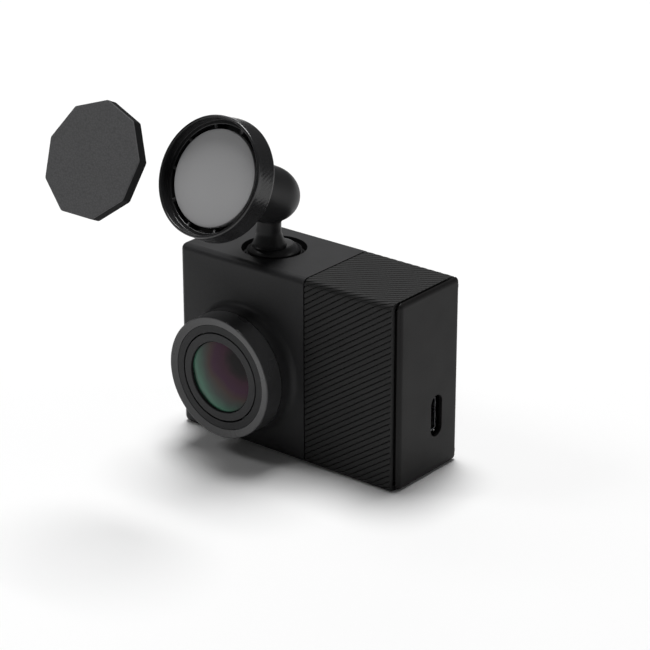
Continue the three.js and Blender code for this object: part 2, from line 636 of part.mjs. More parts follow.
add('front_element', element(FRONT_ELEMENT_RADIUS, RING_BACK, FRONT_ELEMENT_EDGE, FRONT_ELEMENT_CROWN), 'glass', lens);
const lensTube = tube(TUBE_RADIUS - TUBE_WALL, TUBE_RADIUS, TUBE_BACK, LEDGE_FRONT);
add('lens_tube', lensTube, 'plastic', lens);
const MIDDLE_BACK = LEDGE_FRONT - GAP - 2 * ELEMENT_THICKNESS;
const REAR_BACK = TUBE_BACK + ELEMENT_THICKNESS;
add('middle_element', element(ELEMENT_RADIUS, MIDDLE_BACK, ELEMENT_THICKNESS, 1, 20), 'glass', lens);
add('rear_element', element(ELEMENT_RADIUS, REAR_BACK, ELEMENT_THICKNESS, 1, 20), 'glass', lens);
const spacerStart = REAR_BACK + ELEMENT_THICKNESS + 1 + GAP;
add('element_spacer', tube(ELEMENT_RADIUS - 1, ELEMENT_RADIUS, spacerStart, MIDDLE_BACK - GAP, 20), 'plastic', lens);

function lensHolder() {
  const holder = plate(HOLDER_SIZE, HOLDER_SIZE, HOLDER_DEPTH, 1.5).translate(0, 0, HOLDER_BACK);
  const bore = rod(TUBE_RADIUS + GAP, TUBE_BACK - GAP, HOLDER_FRONT + 1, 32);
  const chamber = plate(TUBE_RADIUS * 1.5, TUBE_RADIUS * 1.5, HOLDER_DEPTH, 1).translate(0, 0, HOLDER_BACK - 1);
  return cut(holder, bore, chamber);
}

add('lens_holder', lensHolder(), 'plastic', lens);
const FILTER_SIZE = TUBE_RADIUS * 1.5 - 2 * GAP;
add('infrared_filter', plate(FILTER_SIZE, FILTER_SIZE, FILTER_THICKNESS, 0.8).translate(0, 0, FILTER_BACK), 'glass', lens);
const sensor = plate(FILTER_SIZE - 1, 0.8 * FILTER_SIZE, 2 * GAP, 0.4);
add('image_sensor', sensor.translate(0, 0, FRONT - SENSOR_BOARD_FRONT + GAP), 'screen', lens);
const sensorBoard = plate(HOLDER_SIZE + 2, HOLDER_SIZE + 2, BOARD_THICKNESS, 1);
add('sensor_board', sensorBoard.translate(0, 0, FRONT - SENSOR_BOARD_BACK), 'board', lens);

// ---- Battery, speaker and microphone ----
const batteryX = [BATTERY_X - BATTERY_WIDTH / 2, BATTERY_X + BATTERY_WIDTH / 2];
const batteryZ = [BATTERY_TOP - BATTERY_HEIGHT, BATTERY_TOP];
const batteryDepth = BATTERY_BACK - BATTERY_FRONT;
const cell = plate(BATTERY_WIDTH, batteryDepth, BATTERY_HEIGHT, 1.5);
add('battery', cell.translate(BATTERY_X, (BATTERY_FRONT + BATTERY_BACK) / 2, batteryZ[0]), 'battery');
const trayY = [BATTERY_BACK + GAP, BATTERY_BACK + GAP + TRAY_THICKNESS];
const trayZ = [batteryZ[0] - GAP - TRAY_THICKNESS, batteryZ[1] + GAP + TRAY_THICKNESS];
const trayBack = block(batteryX, trayY, trayZ);
const lipY = [BATTERY_BACK - 3, trayY[1]];
const lowerLip = block(batteryX, lipY, [trayZ[0], trayZ[0] + TRAY_THICKNESS]);
const upperLip = block(batteryX, lipY, [trayZ[1] - TRAY_THICKNESS, trayZ[1]]);
add('battery_tray', join(trayBack, lowerLip, upperLip), 'plastic');
const speaker = rod(SPEAKER_RADIUS, WALL + GAP, WALL + GAP + SPEAKER_THICKNESS, 28);
add('speaker', speaker.translate(BATTERY_X, SPEAKER_Y, 0), 'plastic');
const half = MICROPHONE_SIZE / 2;
const microphone = block(
  [LEFT + WALL + GAP, LEFT + WALL + GAP + 1.1],
  [MICROPHONE_Y - half, MICROPHONE_Y + half],
  [MICROPHONE_HEIGHT - half, MICROPHONE_HEIGHT + half],
);
add('microphone', microphone, 'steel');

// ---- Power socket ----
const portShell = cut(
  plate(PORT_SHELL_WIDTH, PORT_SHELL_LENGTH, PORT_SHELL_DEPTH, 0.9),
  plate(
    PORT_SHELL_WIDTH - 2 * PORT_SHELL_WALL,
    PORT_SHELL_LENGTH - 2 * PORT_SHELL_WALL,
    PORT_SHELL_DEPTH,
    0.6,
  ).translate(0, 0, 1),
);
add('port_shell', alongX(portShell, PORT_MOUTH - PORT_SHELL_DEPTH, PORT_Y, PORT_HEIGHT), 'steel');
const tongue = plate(0.6, PORT_SHELL_LENGTH - 2.4, PORT_SHELL_DEPTH - 2, 0.2);
add('port_tongue', alongX(tongue, PORT_MOUTH - PORT_SHELL_DEPTH + 1 + GAP, PORT_Y, PORT_HEIGHT), 'plastic');

// ---- Memory card ----
const socketHalf = CARD_WIDTH / 2 + GAP + CARD_SOCKET_RIM;
const cardSocket = cut(
  block([LEFT + WALL + GAP, CARD_INNER + 2 * GAP], [CARD_SOCKET_FRONT, CARD_SOCKET_BACK],
    [CARD_HEIGHT - socketHalf, CARD_HEIGHT + socketHalf]),
  block([LEFT, CARD_INNER + GAP], [CARD_Y - CARD_THICKNESS / 2 - GAP, CARD_Y + CARD_THICKNESS / 2 + GAP],
    [CARD_HEIGHT - CARD_WIDTH / 2 - GAP, CARD_HEIGHT + CARD_WIDTH / 2 + GAP]),
);
add('card_socket', cardSocket, 'steel');
const card = plate(CARD_THICKNESS, CARD_WIDTH, CARD_LENGTH, 0.2);
add('memory_card', alongX(card, CARD_OUTER, CARD_Y, CARD_HEIGHT), 'plastic');

// ---- Magnetic foot ----
const FOOT_SHOULDER = FOOT_BOTTOM + FOOT_EDGE;
const FOOT_TOP = FOOT_SHOULDER + FOOT_CROWN;
const footMagnetRadius = FOOT_RADIUS - FOOT_WALL - GAP;
const footSphere = (FOOT_RADIUS ** 2 - NECK_RADIUS ** 2 + FOOT_CROWN ** 2) / (2 * FOOT_CROWN);
const footArc = [];
for (let i = 0; i <= 5; i += 1) {
  const r = FOOT_RADIUS + ((NECK_RADIUS - FOOT_RADIUS) * i) / 5;
  const bulge = (FOOT_CROWN * (FOOT_RADIUS - r) * (2 * FOOT_RADIUS - (FOOT_RADIUS - r))) /
    ((FOOT_RADIUS - NECK_RADIUS) * (FOOT_RADIUS + NECK_RADIUS));
  footArc.push([r, FOOT_SHOULDER + bulge]);
}
const footBore = ARM_SCREW_RADIUS + GAP;
const magnetRoom = FOOT_BOTTOM + FOOT_MAGNET_THICKNESS + GAP;
const footDome = turned([
  [footMagnetRadius + GAP, FOOT_BOTTOM],
  [FOOT_RADIUS, FOOT_BOTTOM],
  ...footArc,
  [0, FOOT_TOP],
  [0, magnetRoom],
  [footMagnetRadius + GAP, magnetRoom],
  [footMagnetRadius + GAP, FOOT_BOTTOM],
]).translate(LENS_X, FOOT_Y, 0);
const screwHead = 2 * ARM_SCREW_RADIUS;
const screwSeat = magnetRoom + ARM_SCREW_HEAD_HEIGHT + GAP;
const screwWay = rod(footBore, FOOT_BOTTOM, FOOT_TOP + 1, 12).translate(LENS_X, NECK_Y, 0);
const screwPocket = rod(screwHead + GAP, FOOT_BOTTOM, screwSeat, 16).translate(LENS_X, NECK_Y, 0);
add('foot_dome', cut(footDome, screwWay, screwPocket), 'steel');
const footMagnet = rod(footMagnetRadius, FOOT_BOTTOM, FOOT_BOTTOM + FOOT_MAGNET_THICKNESS, 32);
add('foot_magnet', footMagnet.translate(LENS_X, FOOT_Y, 0), 'magnet');
const armScrew = screw(ARM_SCREW_RADIUS, ARM_SCREW_LENGTH, screwHead, ARM_SCREW_HEAD_HEIGHT);
add('arm_screw', armScrew.rotateX(Math.PI).translate(LENS_X, NECK_Y, screwSeat - GAP), 'steel');

// ---- Head, in a frame at the middle of its rim with +Z towards the windscreen ----
const headTurn = Math.PI / 2 - TILT;
const head = frameAt(LENS_X, RIM_Y, RIM_Z, headTurn);

// ---- Arm ----
const HUB_TIP = HEAD_FROM_NECK + HUB_BEHIND_NECK;
const HUB_SHOULDER = HUB_TIP - HUB_DOME;
const HUB_BORE = HUB_RADIUS - HUB_WALL;

function hubBlank() {
  const dome = [];
  for (let i = 0; i <= 6; i += 1) {
    const angle = (Math.PI / 2) * (i / 6);
    dome.push([HUB_RADIUS * Math.cos(angle), -HUB_SHOULDER - HUB_DOME * Math.sin(angle)]);
  }
  dome[dome.length - 1][0] = 0;
  return turned([[0, -MOUTH_FROM_RIM], [HUB_RADIUS, -MOUTH_FROM_RIM], ...dome], 36);
}

function inHead(geometry) {
  return geometry.rotateX(headTurn).translate(LENS_X, RIM_Y, RIM_Z);
}

const LINER_BACK = HUB_SHOULDER - 1.2;
const BORE_END = LINER_BACK + GAP + SPRING_THICKNESS + GAP;

function mountArm() {
  const flare = [];
  for (let i = 0; i <= 5; i += 1) {
    const share = i / 5;
    const radius = NECK_FLARE_RADIUS + (NECK_RADIUS - NECK_FLARE_RADIUS) * Math.sin((share * Math.PI) / 2);
    flare.push([radius, NECK_BOTTOM + NECK_FLARE_HEIGHT * share]);
  }
  const neckTop = RIM_Z - HEAD_FROM_NECK * Math.sin(TILT);
  const neck = turned([[0, NECK_BOTTOM], ...flare, [NECK_RADIUS, neckTop], [0, neckTop]], 24);
  neck.translate(LENS_X, NECK_Y, 0);
  const bore = inHead(rod(HUB_BORE, -BORE_END, 0, 32));
  const holeTop = screwSeat + ARM_SCREW_LENGTH;
  const screwHole = rod(ARM_SCREW_RADIUS + GAP, NECK_BOTTOM - 1, holeTop, 12).translate(LENS_X, NECK_Y, 0);
  const trimmedNeck = cut(neck, inHead(rod(HUB_BORE + 0.1, -BORE_END, 0, 32)));
  return cut(join(inHead(hubBlank()), trimmedNeck), bore, screwHole);
}

add('mount_arm', mountArm(), 'smooth');

// ---- Ball joint inside the hub ----
const BALL_ROOM = BALL_RADIUS + GAP;
const ballSpace = new THREE.SphereGeometry(BALL_ROOM, 20, 12).rotateX(Math.PI / 2).translate(0, 0, -BALL_FROM_RIM);
const linerRadius = HUB_BORE - GAP;
const liner = rod(linerRadius, -LINER_BACK, -BALL_FROM_RIM - GAP, 28);
add('socket_liner', cut(liner, ballSpace), 'plastic', head);
const springTop = -LINER_BACK - GAP;
add('friction_spring', tube(0.55 * linerRadius, linerRadius, springTop - SPRING_THICKNESS, springTop, 32), 'steel', head);
const swing = Math.tan(THREE.MathUtils.degToRad(HEAD_SWING));
const throat = BALL_FROM_RIM - BALL_RADIUS * 0.65;
const throatRadius = STEM_RADIUS + GAP + (BALL_FROM_RIM - throat) * swing;
const mouthRadius = STEM_RADIUS + GAP + (BALL_FROM_RIM - MOUTH_FROM_RIM) * swing;
const collar = rod(linerRadius, -BALL_FROM_RIM, -MOUTH_FROM_RIM, 28);
const throatCut = turned([
  [0, -BALL_FROM_RIM], [throatRadius, -BALL_FROM_RIM], [throatRadius, -throat],
  [mouthRadius, -MOUTH_FROM_RIM], [mouthRadius, 0], [0, 0],
], 28);
add('socket_collar', cut(collar, ballSpace, throatCut), 'smooth', head);
const ball = new THREE.SphereGeometry(BALL_RADIUS, 20, 12).rotateX(Math.PI / 2).translate(0, 0, -BALL_FROM_RIM);
add('head_ball', ball, 'steel', head);

// ---- Stem, cup and disc ----
const CUP_BACK = CUP_DEPTH + CUP_BACK_DROP;
const STEM_FRONT = CUP_BACK + GAP;
const STEM_BACK = BALL_FROM_RIM - BALL_RADIUS - GAP;
const CUP_FLOOR = DISC_DEPTH + DISC_THICKNESS + GAP;
const CUP_MOUTH = CUP_RIM_RADIUS - CUP_LIP;
const LEDGE_RADIUS = CUP_MOUTH - LEDGE_WIDTH;
const SCREW_SEAT = CUP_FLOOR + SCREW_HEAD_HEIGHT + GAP;
const SCREW_END = STEM_BACK - STEM_END;
const CUP_BACK_RADIUS = CUP_RIM_RADIUS + CUP_FLARE;
const DISC_RADIUS = CUP_RIM_RADIUS - TROUGH_WIDTH;
const stemBore = HEAD_SCREW_RADIUS + GAP;
const stem = turned([
  [0, -STEM_BACK], [STEM_RADIUS, -STEM_BACK], [STEM_RADIUS, -STEM_FRONT - STEM_FLANGE],
  [STEM_FLANGE_RADIUS, -STEM_FRONT - STEM_FLANGE], [STEM_FLANGE_RADIUS, -STEM_FRONT],
  [stemBore, -STEM_FRONT], [stemBore, -SCREW_END], [0, -SCREW_END],
], 28);
add('head_stem', stem, 'steel', head);

function headCup() {
  const rim = arc(CUP_RIM_RADIUS - CUP_LIP / 2, -CUP_LIP / 2, CUP_LIP / 2, Math.PI, 0, 4);
  const profile = [
    [stemBore, -CUP_BACK], [stemBore, -SCREW_SEAT],
    [HEAD_SCREW_HEAD + GAP, -SCREW_SEAT], [HEAD_SCREW_HEAD + GAP, -CUP_FLOOR],
    [DISC_RADIUS - GAP, -CUP_FLOOR], [DISC_RADIUS - GAP, -TROUGH_DEPTH],
    [LEDGE_RADIUS, -TROUGH_DEPTH], [LEDGE_RADIUS, -LEDGE_DEPTH],
    [CUP_MOUTH, -LEDGE_DEPTH], ...rim,
    [CUP_BACK_RADIUS, -CUP_DEPTH + 0.4], [CUP_BACK_RADIUS - 0.3, -CUP_DEPTH],
    [CUP_FLAT_RADIUS, -CUP_BACK], [stemBore, -CUP_BACK],
  ];
  const ribs = [];
  for (let i = 0; i < RIB_COUNT; i += 1) {
    const rib = block(
      [-RIB_WIDTH / 2, RIB_WIDTH / 2],
      [DISC_RADIUS + GAP, LEDGE_RADIUS + LEDGE_WIDTH / 2],
      [-TROUGH_DEPTH - 0.2, -RIB_TOP],
    );
    ribs.push(rib.rotateZ((2 * Math.PI * (i + 0.5)) / RIB_COUNT));
  }
  return join(turned(profile, 50), ...ribs);
}

add('head_cup', headCup(), 'smooth', head);
add('head_disc', rod(DISC_RADIUS, -DISC_DEPTH - DISC_THICKNESS, -DISC_DEPTH, 48), 'disc', head);
const headScrew = screw(HEAD_SCREW_RADIUS, SCREW_END - SCREW_SEAT - GAP, HEAD_SCREW_HEAD, SCREW_HEAD_HEIGHT);
add('head_screw', headScrew.translate(0, 0, -SCREW_SEAT + GAP), 'steel', head);

// ---- Adhesive pad, held in front of the head ----
const PAD_RADIUS = CUP_RIM_RADIUS - PAD_MARGIN;
const corners = [];
for (let i = 0; i < PAD_SIDES; i += 1) {
  const angle = Math.PI / 2 + (2 * Math.PI * i) / PAD_SIDES;
  corners.push(new THREE.Vector2(PAD_RADIUS * Math.cos(angle), PAD_RADIUS * Math.sin(angle)));
}
const padSettings = { depth: PAD_THICKNESS, bevelEnabled: false };
const pad = new THREE.ExtrudeGeometry(new THREE.Shape(corners), padSettings);
add('adhesive_pad', pad.translate(0, -PAD_DROP, PAD_FORWARD - PAD_THICKNESS), 'rubber', head);

export default camera;
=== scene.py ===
"""Dash camera on a magnetic ball-head windscreen mount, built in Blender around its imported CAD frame.

Sizes come from the frame wherever it has them. The others are in the property groups and the
constants below, in millimetres times MM. Each operator builds one group of pieces.
"""

import json
import math

import bmesh
import bpy
from bpy.props import FloatProperty, FloatVectorProperty, IntProperty, PointerProperty
from mathutils import Matrix, Vector


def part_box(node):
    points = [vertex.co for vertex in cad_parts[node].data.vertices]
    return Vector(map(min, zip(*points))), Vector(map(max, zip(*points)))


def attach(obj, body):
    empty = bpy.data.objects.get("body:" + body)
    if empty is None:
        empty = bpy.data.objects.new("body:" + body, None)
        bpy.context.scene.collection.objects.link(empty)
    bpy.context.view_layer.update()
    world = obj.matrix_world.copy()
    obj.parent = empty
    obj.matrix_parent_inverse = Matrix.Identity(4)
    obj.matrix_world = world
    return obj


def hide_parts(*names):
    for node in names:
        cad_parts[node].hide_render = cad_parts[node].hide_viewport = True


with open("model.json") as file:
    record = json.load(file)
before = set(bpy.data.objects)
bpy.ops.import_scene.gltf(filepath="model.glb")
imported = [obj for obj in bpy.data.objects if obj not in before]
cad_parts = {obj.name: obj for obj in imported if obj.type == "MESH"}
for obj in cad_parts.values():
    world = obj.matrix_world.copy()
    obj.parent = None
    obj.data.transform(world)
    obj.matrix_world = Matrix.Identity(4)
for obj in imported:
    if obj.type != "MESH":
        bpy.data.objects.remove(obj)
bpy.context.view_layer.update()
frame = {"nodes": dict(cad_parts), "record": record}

bl_info = {
    "name": "Dash Camera",
    "version": (1, 0, 0),
    "blender": (4, 5, 0),
    "location": "3D View > Sidebar > Dash Camera",
    "description": "Builds a dash camera with a magnetic ball-head mount around its CAD frame",
    "category": "Object",
}

MM = 0.001
SLOT_OF = {part["node"]: part["material_slot"] for part in frame["record"]["subparts"]}
BODY_OF = {
    node: body
    for body, nodes in frame["record"]["behaviour"]["bodies"].items()
    for node in nodes
}

# ---- Places read from the frame ----
WRAP_LOW, WRAP_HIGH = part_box("textured_wrap")
CAP_LOW, CAP_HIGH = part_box("end_cap")
SHELL_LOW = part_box("front_housing")[0]
COVER_LOW, COVER_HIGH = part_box("rear_cover")
WINDOW_LOW, WINDOW_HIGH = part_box("display_window")
BARREL_LOW, BARREL_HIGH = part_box("lens_barrel")
LEFT, RIGHT = SHELL_LOW.x, CAP_HIGH.x
FRONT, BACK, TOP = WRAP_LOW.y, WRAP_HIGH.y, WRAP_HIGH.z
GAP = 0.3 * MM  # between pieces that are fitted together, and at the seams
WALL = 1.4 * MM
LIP = 0.8 * MM
LIP_REACH = 1.9 * MM
SHELL_EDGE = WRAP_LOW.x - GAP
CAP_EDGE = WRAP_HIGH.x + GAP

LENS_CENTRE = Vector(((BARREL_LOW.x + BARREL_HIGH.x) / 2, FRONT, (BARREL_LOW.z + BARREL_HIGH.z) / 2))
LENS_PLACE = Matrix.Translation(LENS_CENTRE) @ Matrix.Rotation(math.pi / 2, 4, "X")
BARREL_RADIUS = (BARREL_HIGH.x - BARREL_LOW.x) / 2
LENS_REACH = FRONT - BARREL_LOW.y

PAD_MOUNT = next(m for m in frame["record"]["mounts"] if m["name"] == "pad_face")
HEAD_AXIS = Vector(PAD_MOUNT["axis"])
PAD_FACE = Vector(PAD_MOUNT["pos_m"])
HEAD_TURN = math.pi / 2 - math.asin(HEAD_AXIS.z)


def middle(node):
    low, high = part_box(node)
    return (low + high) / 2


def span(node):
    low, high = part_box(node)
    return high - low


DISC_THICKNESS = 1.2 * MM
DISC_DEPTH = 2.09 * MM
RIM_CENTRE = middle("head_disc") + HEAD_AXIS * (DISC_THICKNESS / 2 + DISC_DEPTH)
HEAD_PLACE = Matrix.Translation(RIM_CENTRE) @ Matrix.Rotation(HEAD_TURN, 4, "X")
FOOT_CENTRE = middle("foot_magnet")
FOOT_CENTRE.z = 0


def linear(hex_colour):
    """An sRGB hex colour as linear red, green and blue."""
    parts = [int(hex_colour[i : i + 2], 16) / 255 for i in (1, 3, 5)]
    return [c / 12.92 if c <= 0.04045 else ((c + 0.055) / 1.055) ** 2.4 for c in parts]


# ---- Sizes and colours a user would change ----
class DashCameraSizes(bpy.types.PropertyGroup):
    """Sizes that the frame doesn't give"""

    edge_radius: FloatProperty(
        name="Edge radius", description="Rounding of the housing's long edges",
        default=1.4 * MM, min=0.2 * MM, unit="LENGTH",
    )
    ridge_pitch: FloatProperty(
        name="Ridge pitch", description="Height from one ridge of the wrap to the next",
        default=1.27 * MM, min=0.4 * MM, unit="LENGTH",
    )
    ridge_depth: FloatProperty(
        name="Groove depth", description="Depth of the grooves between the ridges",
        default=0.24 * MM, min=0, unit="LENGTH",
    )
    ridge_angle: FloatProperty(
        name="Ridge angle", description="Slope of the ridges across the wrap",
        default=math.radians(33.7), unit="ROTATION",
    )
    knurl_depth: FloatProperty(
        name="Knurl depth", description="Depth of the slanted flutes round the head",
        default=0.055 * MM, min=0, unit="LENGTH",
    )
    knurl_count: IntProperty(
        name="Knurl count", description="Number of slanted flutes round the head", default=72, min=12,
    )


class DashCameraColours(bpy.types.PropertyGroup):
    """Main colours, as linear red, green and blue"""

    shell: FloatVectorProperty(
        name="Shell", description="Moulded housing and arm", subtype="COLOR",
        default=linear("#272728"), min=0, max=1,
    )
    wrap: FloatVectorProperty(
        name="Wrap", description="Ridged wrap", subtype="COLOR",
        default=linear("#222222"), min=0, max=1,
    )
    barrel: FloatVectorProperty(
        name="Barrel", description="Lens barrel and rings", subtype="COLOR",
        default=linear("#373738"), min=0, max=1,
    )
    disc: FloatVectorProperty(
        name="Disc", description="Flat disc in the head", subtype="COLOR",
        default=linear("#ababac"), min=0, max=1,
    )
    pad: FloatVectorProperty(
        name="Pad", description="Adhesive foam pad", subtype="COLOR",
        default=linear("#626263"), min=0, max=1,
    )


# ---- Modelling helpers ----
class editing:
    """Edit mode on one object, with nothing selected at the start."""

    def __init__(self, piece):
        self.piece = piece

    def __enter__(self):
        bpy.ops.object.select_all(action="DESELECT")
        bpy.context.view_layer.objects.active = self.piece
        self.piece.select_set(True)
        bpy.ops.object.mode_set(mode="EDIT")
        bpy.ops.mesh.select_mode(type="VERT")
        bpy.ops.mesh.select_all(action="DESELECT")
        return self.piece

    def __exit__(self, *problem):
        bpy.ops.object.mode_set(mode="OBJECT")


def pick(piece, faces=None, edges=None, verts=None):
    """Selects, in edit mode, what passes one test of its place. Returns how many passed."""
    kind, test = next((k, t) for k, t in (("FACE", faces), ("EDGE", edges), ("VERT", verts)) if t)
    bpy.ops.mesh.select_mode(type=kind)
    bpy.ops.mesh.select_all(action="DESELECT")
    mesh = bmesh.from_edit_mesh(piece.data)
    group = {"FACE": mesh.faces, "EDGE": mesh.edges, "VERT": mesh.verts}[kind]
    count = 0
    for item in group:
        if test(item):
            item.select = True
            count += 1
    mesh.select_flush_mode()
    bmesh.update_edit_mesh(piece.data)
    return count


def added(name):
    """The object that the last primitive made, named and with its place in its mesh."""
    piece = bpy.context.object
    piece.name = name
    piece.data.name = name
    bpy.ops.object.transform_apply(location=True, rotation=True, scale=True)
    return piece


def deselect():
    if bpy.context.object and bpy.context.object.mode != "OBJECT":
        bpy.ops.object.mode_set(mode="OBJECT")
    bpy.ops.object.select_all(action="DESELECT")


def block(name, low, high):
    """A box from one corner to the other."""
    deselect()
    low, high = Vector(low), Vector(high)
    bpy.ops.mesh.primitive_cube_add(size=1, location=(low + high) / 2, scale=high - low)
    return added(name)


def put(piece, place):
    """Moves a piece that was made at the origin to its place, and keeps the place in its mesh."""
    deselect()
    bpy.context.view_layer.objects.active = piece
    piece.select_set(True)
    piece.matrix_world = place
    bpy.ops.object.transform_apply(location=True, rotation=True, scale=True)
    return piece


def rod(name, radius, low, high, place=Matrix.Identity(4), sides=96):
    """A cylinder along the Z of its place, from low to high."""
    deselect()
    bpy.ops.mesh.primitive_cylinder_add(
        vertices=sides, radius=radius, depth=high - low, location=(0, 0, (low + high) / 2)
    )
    return put(added(name), place)


def rounded(corners, steps=4):
    """Points of an outline: a corner with a third number is rounded to that radius."""
    points = []
    for i, corner in enumerate(corners):
        here = Vector(corner[:2])
        radius = corner[2] if len(corner) > 2 else 0
        if not radius or i in (0, len(corners) - 1):
            points.append(here)
            continue
        before = (Vector(corners[i - 1][:2]) - here).normalized()
        after = (Vector(corners[i + 1][:2]) - here).normalized()
        reach = radius / math.tan(before.angle(after) / 2)
        start, end = here + before * reach, here + after * reach
        for k in range(steps + 1):
            t = k / steps
            points.append(start * (1 - t) ** 2 + here * 2 * t * (1 - t) + end * t**2)
    return points


def turned(name, corners, place=Matrix.Identity(4), sides=96, steps=4):
    """A profile of (radius, height) corners in millimetres, drawn by extruding and spun about Z."""
    points = [p * MM for p in rounded(corners, steps)]
    deselect()
    bpy.ops.mesh.primitive_plane_add(size=MM)
    piece = added(name)
    with editing(piece):
        bpy.ops.mesh.select_all(action="SELECT")
        bpy.ops.mesh.merge(type="CENTER")
        bpy.ops.transform.translate(value=(points[0].x, 0, points[0].y))
        for before, after in zip(points, points[1:]):
            step = after - before
            bpy.ops.mesh.extrude_vertices_move(TRANSFORM_OT_translate={"value": (step.x, 0, step.y)})
        bpy.ops.mesh.select_all(action="SELECT")
        bpy.ops.mesh.spin(steps=sides, angle=2 * math.pi, center=(0, 0, 0), axis=(0, 0, 1))
        bpy.ops.mesh.select_all(action="SELECT")
        bpy.ops.mesh.remove_doubles(threshold=0.002 * MM)
        bpy.ops.mesh.normals_make_consistent(inside=False)
    return put(piece, place)


def modify(piece, kind, **settings):
    """Adds one modifier with its settings and applies it."""
    deselect()
    bpy.context.view_layer.objects.active = piece
    piece.select_set(True)
    modifier = piece.modifiers.new(kind.lower(), kind)
    for key, value in settings.items():
        setattr(modifier, key, value)
    bpy.ops.object.modifier_apply(modifier=modifier.name)
    return piece


def combine(piece, tool, operation="DIFFERENCE"):
    modify(piece, "BOOLEAN", object=tool, operation=operation, solver="EXACT")
    bpy.data.objects.remove(tool)
    return piece


def soften(piece, width=0.2 * MM, segments=2, angle=40):
    """Breaks every edge sharper than the angle, as a mould does."""
    return modify(
        piece, "BEVEL", width=width, segments=segments, limit_method="ANGLE",
        angle_limit=math.radians(angle), miter_outer="MITER_ARC", use_clamp_overlap=True,
    )


def smooth(piece, angle=32):
    """Smooth shading with flat faces kept flat."""
    deselect()
    bpy.context.view_layer.objects.active = piece
    piece.select_set(True)
    bpy.ops.object.shade_smooth_by_angle(angle=math.radians(angle))
    return modify(piece, "WEIGHTED_NORMAL", keep_sharp=True, weight=100)


def bevel_edges(piece, test, radius, segments=6, profile=0.5):
    """Bevels the edges that pass a test of their two ends. A profile under a half flattens them."""
    with editing(piece):
        pick(piece, edges=lambda e: test(e.verts[0].co, e.verts[1].co))
        bpy.ops.mesh.bevel(
            offset=radius, segments=segments, profile=profile, affect="EDGES", clamp_overlap=True
        )
    return piece


def near(a, b, within=0.01 * MM):
    return abs(a - b) < within


def along_x(a, b):
    return near(a.y, b.y) and near(a.z, b.z)


def along_y(a, b):
    return near(a.x, b.x) and near(a.z, b.z)


def along_z(a, b):
    return near(a.x, b.x) and near(a.y, b.y)


def copied(piece, name, shift):
    """A copy with its own mesh, moved by shift."""
    deselect()
    bpy.context.view_layer.objects.active = piece
    piece.select_set(True)
    bpy.ops.object.duplicate(linked=False)
    twin = bpy.context.object
    twin.name = name
    twin.data.name = name
    return put(twin, Matrix.Translation(shift))


def hand_over(piece, *nodes, slot=None):
    """Parents a finished piece to its body, hides the CAD nodes that it stands for, and gives it the
    material of its slot.
    """
    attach(piece, BODY_OF[nodes[0]])
    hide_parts(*nodes)
    name = slot or SLOT_OF[nodes[0]]
    piece.data.materials.clear()
    piece.data.materials.append(finish_for(name))
    return piece


# ---- Material helpers ----
def add_node(tree, kind, links=None, **settings):
    """Adds a node, gives its settings and input values by name, and links its inputs."""
    made = tree.nodes.new(kind)
    for key, value in settings.items():
        if hasattr(made, key):
            setattr(made, key, value)
        else:
            made.inputs[key.replace("_", " ")].default_value = value
    for key, source in (links or {}).items():
        tree.links.new(source, made.inputs[key])
    return made


def new_surface(name, **values):
    """A material with a shader whose own sockets are set. Returns it, its tree, shader and place."""
    surface = bpy.data.materials.new(name)
    surface.use_nodes = True
    tree = surface.node_tree
    shader = tree.nodes["Principled BSDF"]
    for key, value in values.items():
        shader.inputs[key.replace("_", " ")].default_value = value
    place = add_node(tree, "ShaderNodeTexCoord").outputs["Object"]
    return surface, tree, shader, place


def speckle(tree, place, size, detail=3, stretch=None):
    """Noise with features of the given size. A stretch gives the size along each axis instead."""
    if stretch:
        place = add_node(
            tree, "ShaderNodeMapping", {"Vector": place}, Scale=[size / s for s in stretch]
        ).outputs["Vector"]
    return add_node(
        tree, "ShaderNodeTexNoise", {"Vector": place}, Scale=1 / size, Detail=detail
    ).outputs["Fac"]


def between(tree, factor, low, high):
    """A number that runs from low to high as the factor crosses the middle of its range."""
    return add_node(
        tree, "ShaderNodeMapRange", {"Value": factor},
        From_Min=0.3, From_Max=0.7, To_Min=low, To_Max=high,
    ).outputs["Result"]


def blend_colours(tree, factor, first, second):
    made = add_node(tree, "ShaderNodeMix", data_type="RGBA")
    made.inputs[0].default_value = 0.5
    if isinstance(factor, bpy.types.NodeSocket):
        tree.links.new(factor, made.inputs[0])
    else:
        made.inputs[0].default_value = factor
    for socket, colour in ((made.inputs[6], first), (made.inputs[7], second)):
        if isinstance(colour, bpy.types.NodeSocket):
            tree.links.new(colour, socket)
        else:
            socket.default_value = [*colour[:3], 1]
    return made.outputs[2]


def raise_surface(tree, shader, height, distance, strength=1):
    bump = add_node(
        tree, "ShaderNodeBump", {"Height": height}, Distance=distance, Strength=strength
    )
    tree.links.new(bump.outputs["Normal"], shader.inputs["Normal"])


def shade(colour, amount):
    return [max(0, min(1, c * amount)) for c in colour]


def moulded(name, colour, roughness, grain, depth, cloud=9 * MM, fleck=1.45, **values):
    """Moulded plastic: faint clouding of its tone, uneven gloss, and the grain of the mould."""
    values = {"Specular_IOR_Level": 0.2, **values}
    surface, tree, shader, place = new_surface(name, Roughness=roughness, **values)
    clouds = speckle(tree, place, cloud, detail=2)
    fine = speckle(tree, place, grain, detail=2)
    toned = blend_colours(tree, clouds, shade(colour, 0.86), shade(colour, 1.14))
    flecked = blend_colours(tree, between(tree, fine, 0, 0.35), toned, shade(colour, fleck))
    tree.links.new(flecked, shader.inputs["Base Color"])
    uneven = between(tree, clouds, roughness - 0.04, roughness + 0.04)
    tree.links.new(uneven, shader.inputs["Roughness"])
    raise_surface(tree, shader, fine, depth)
    return surface


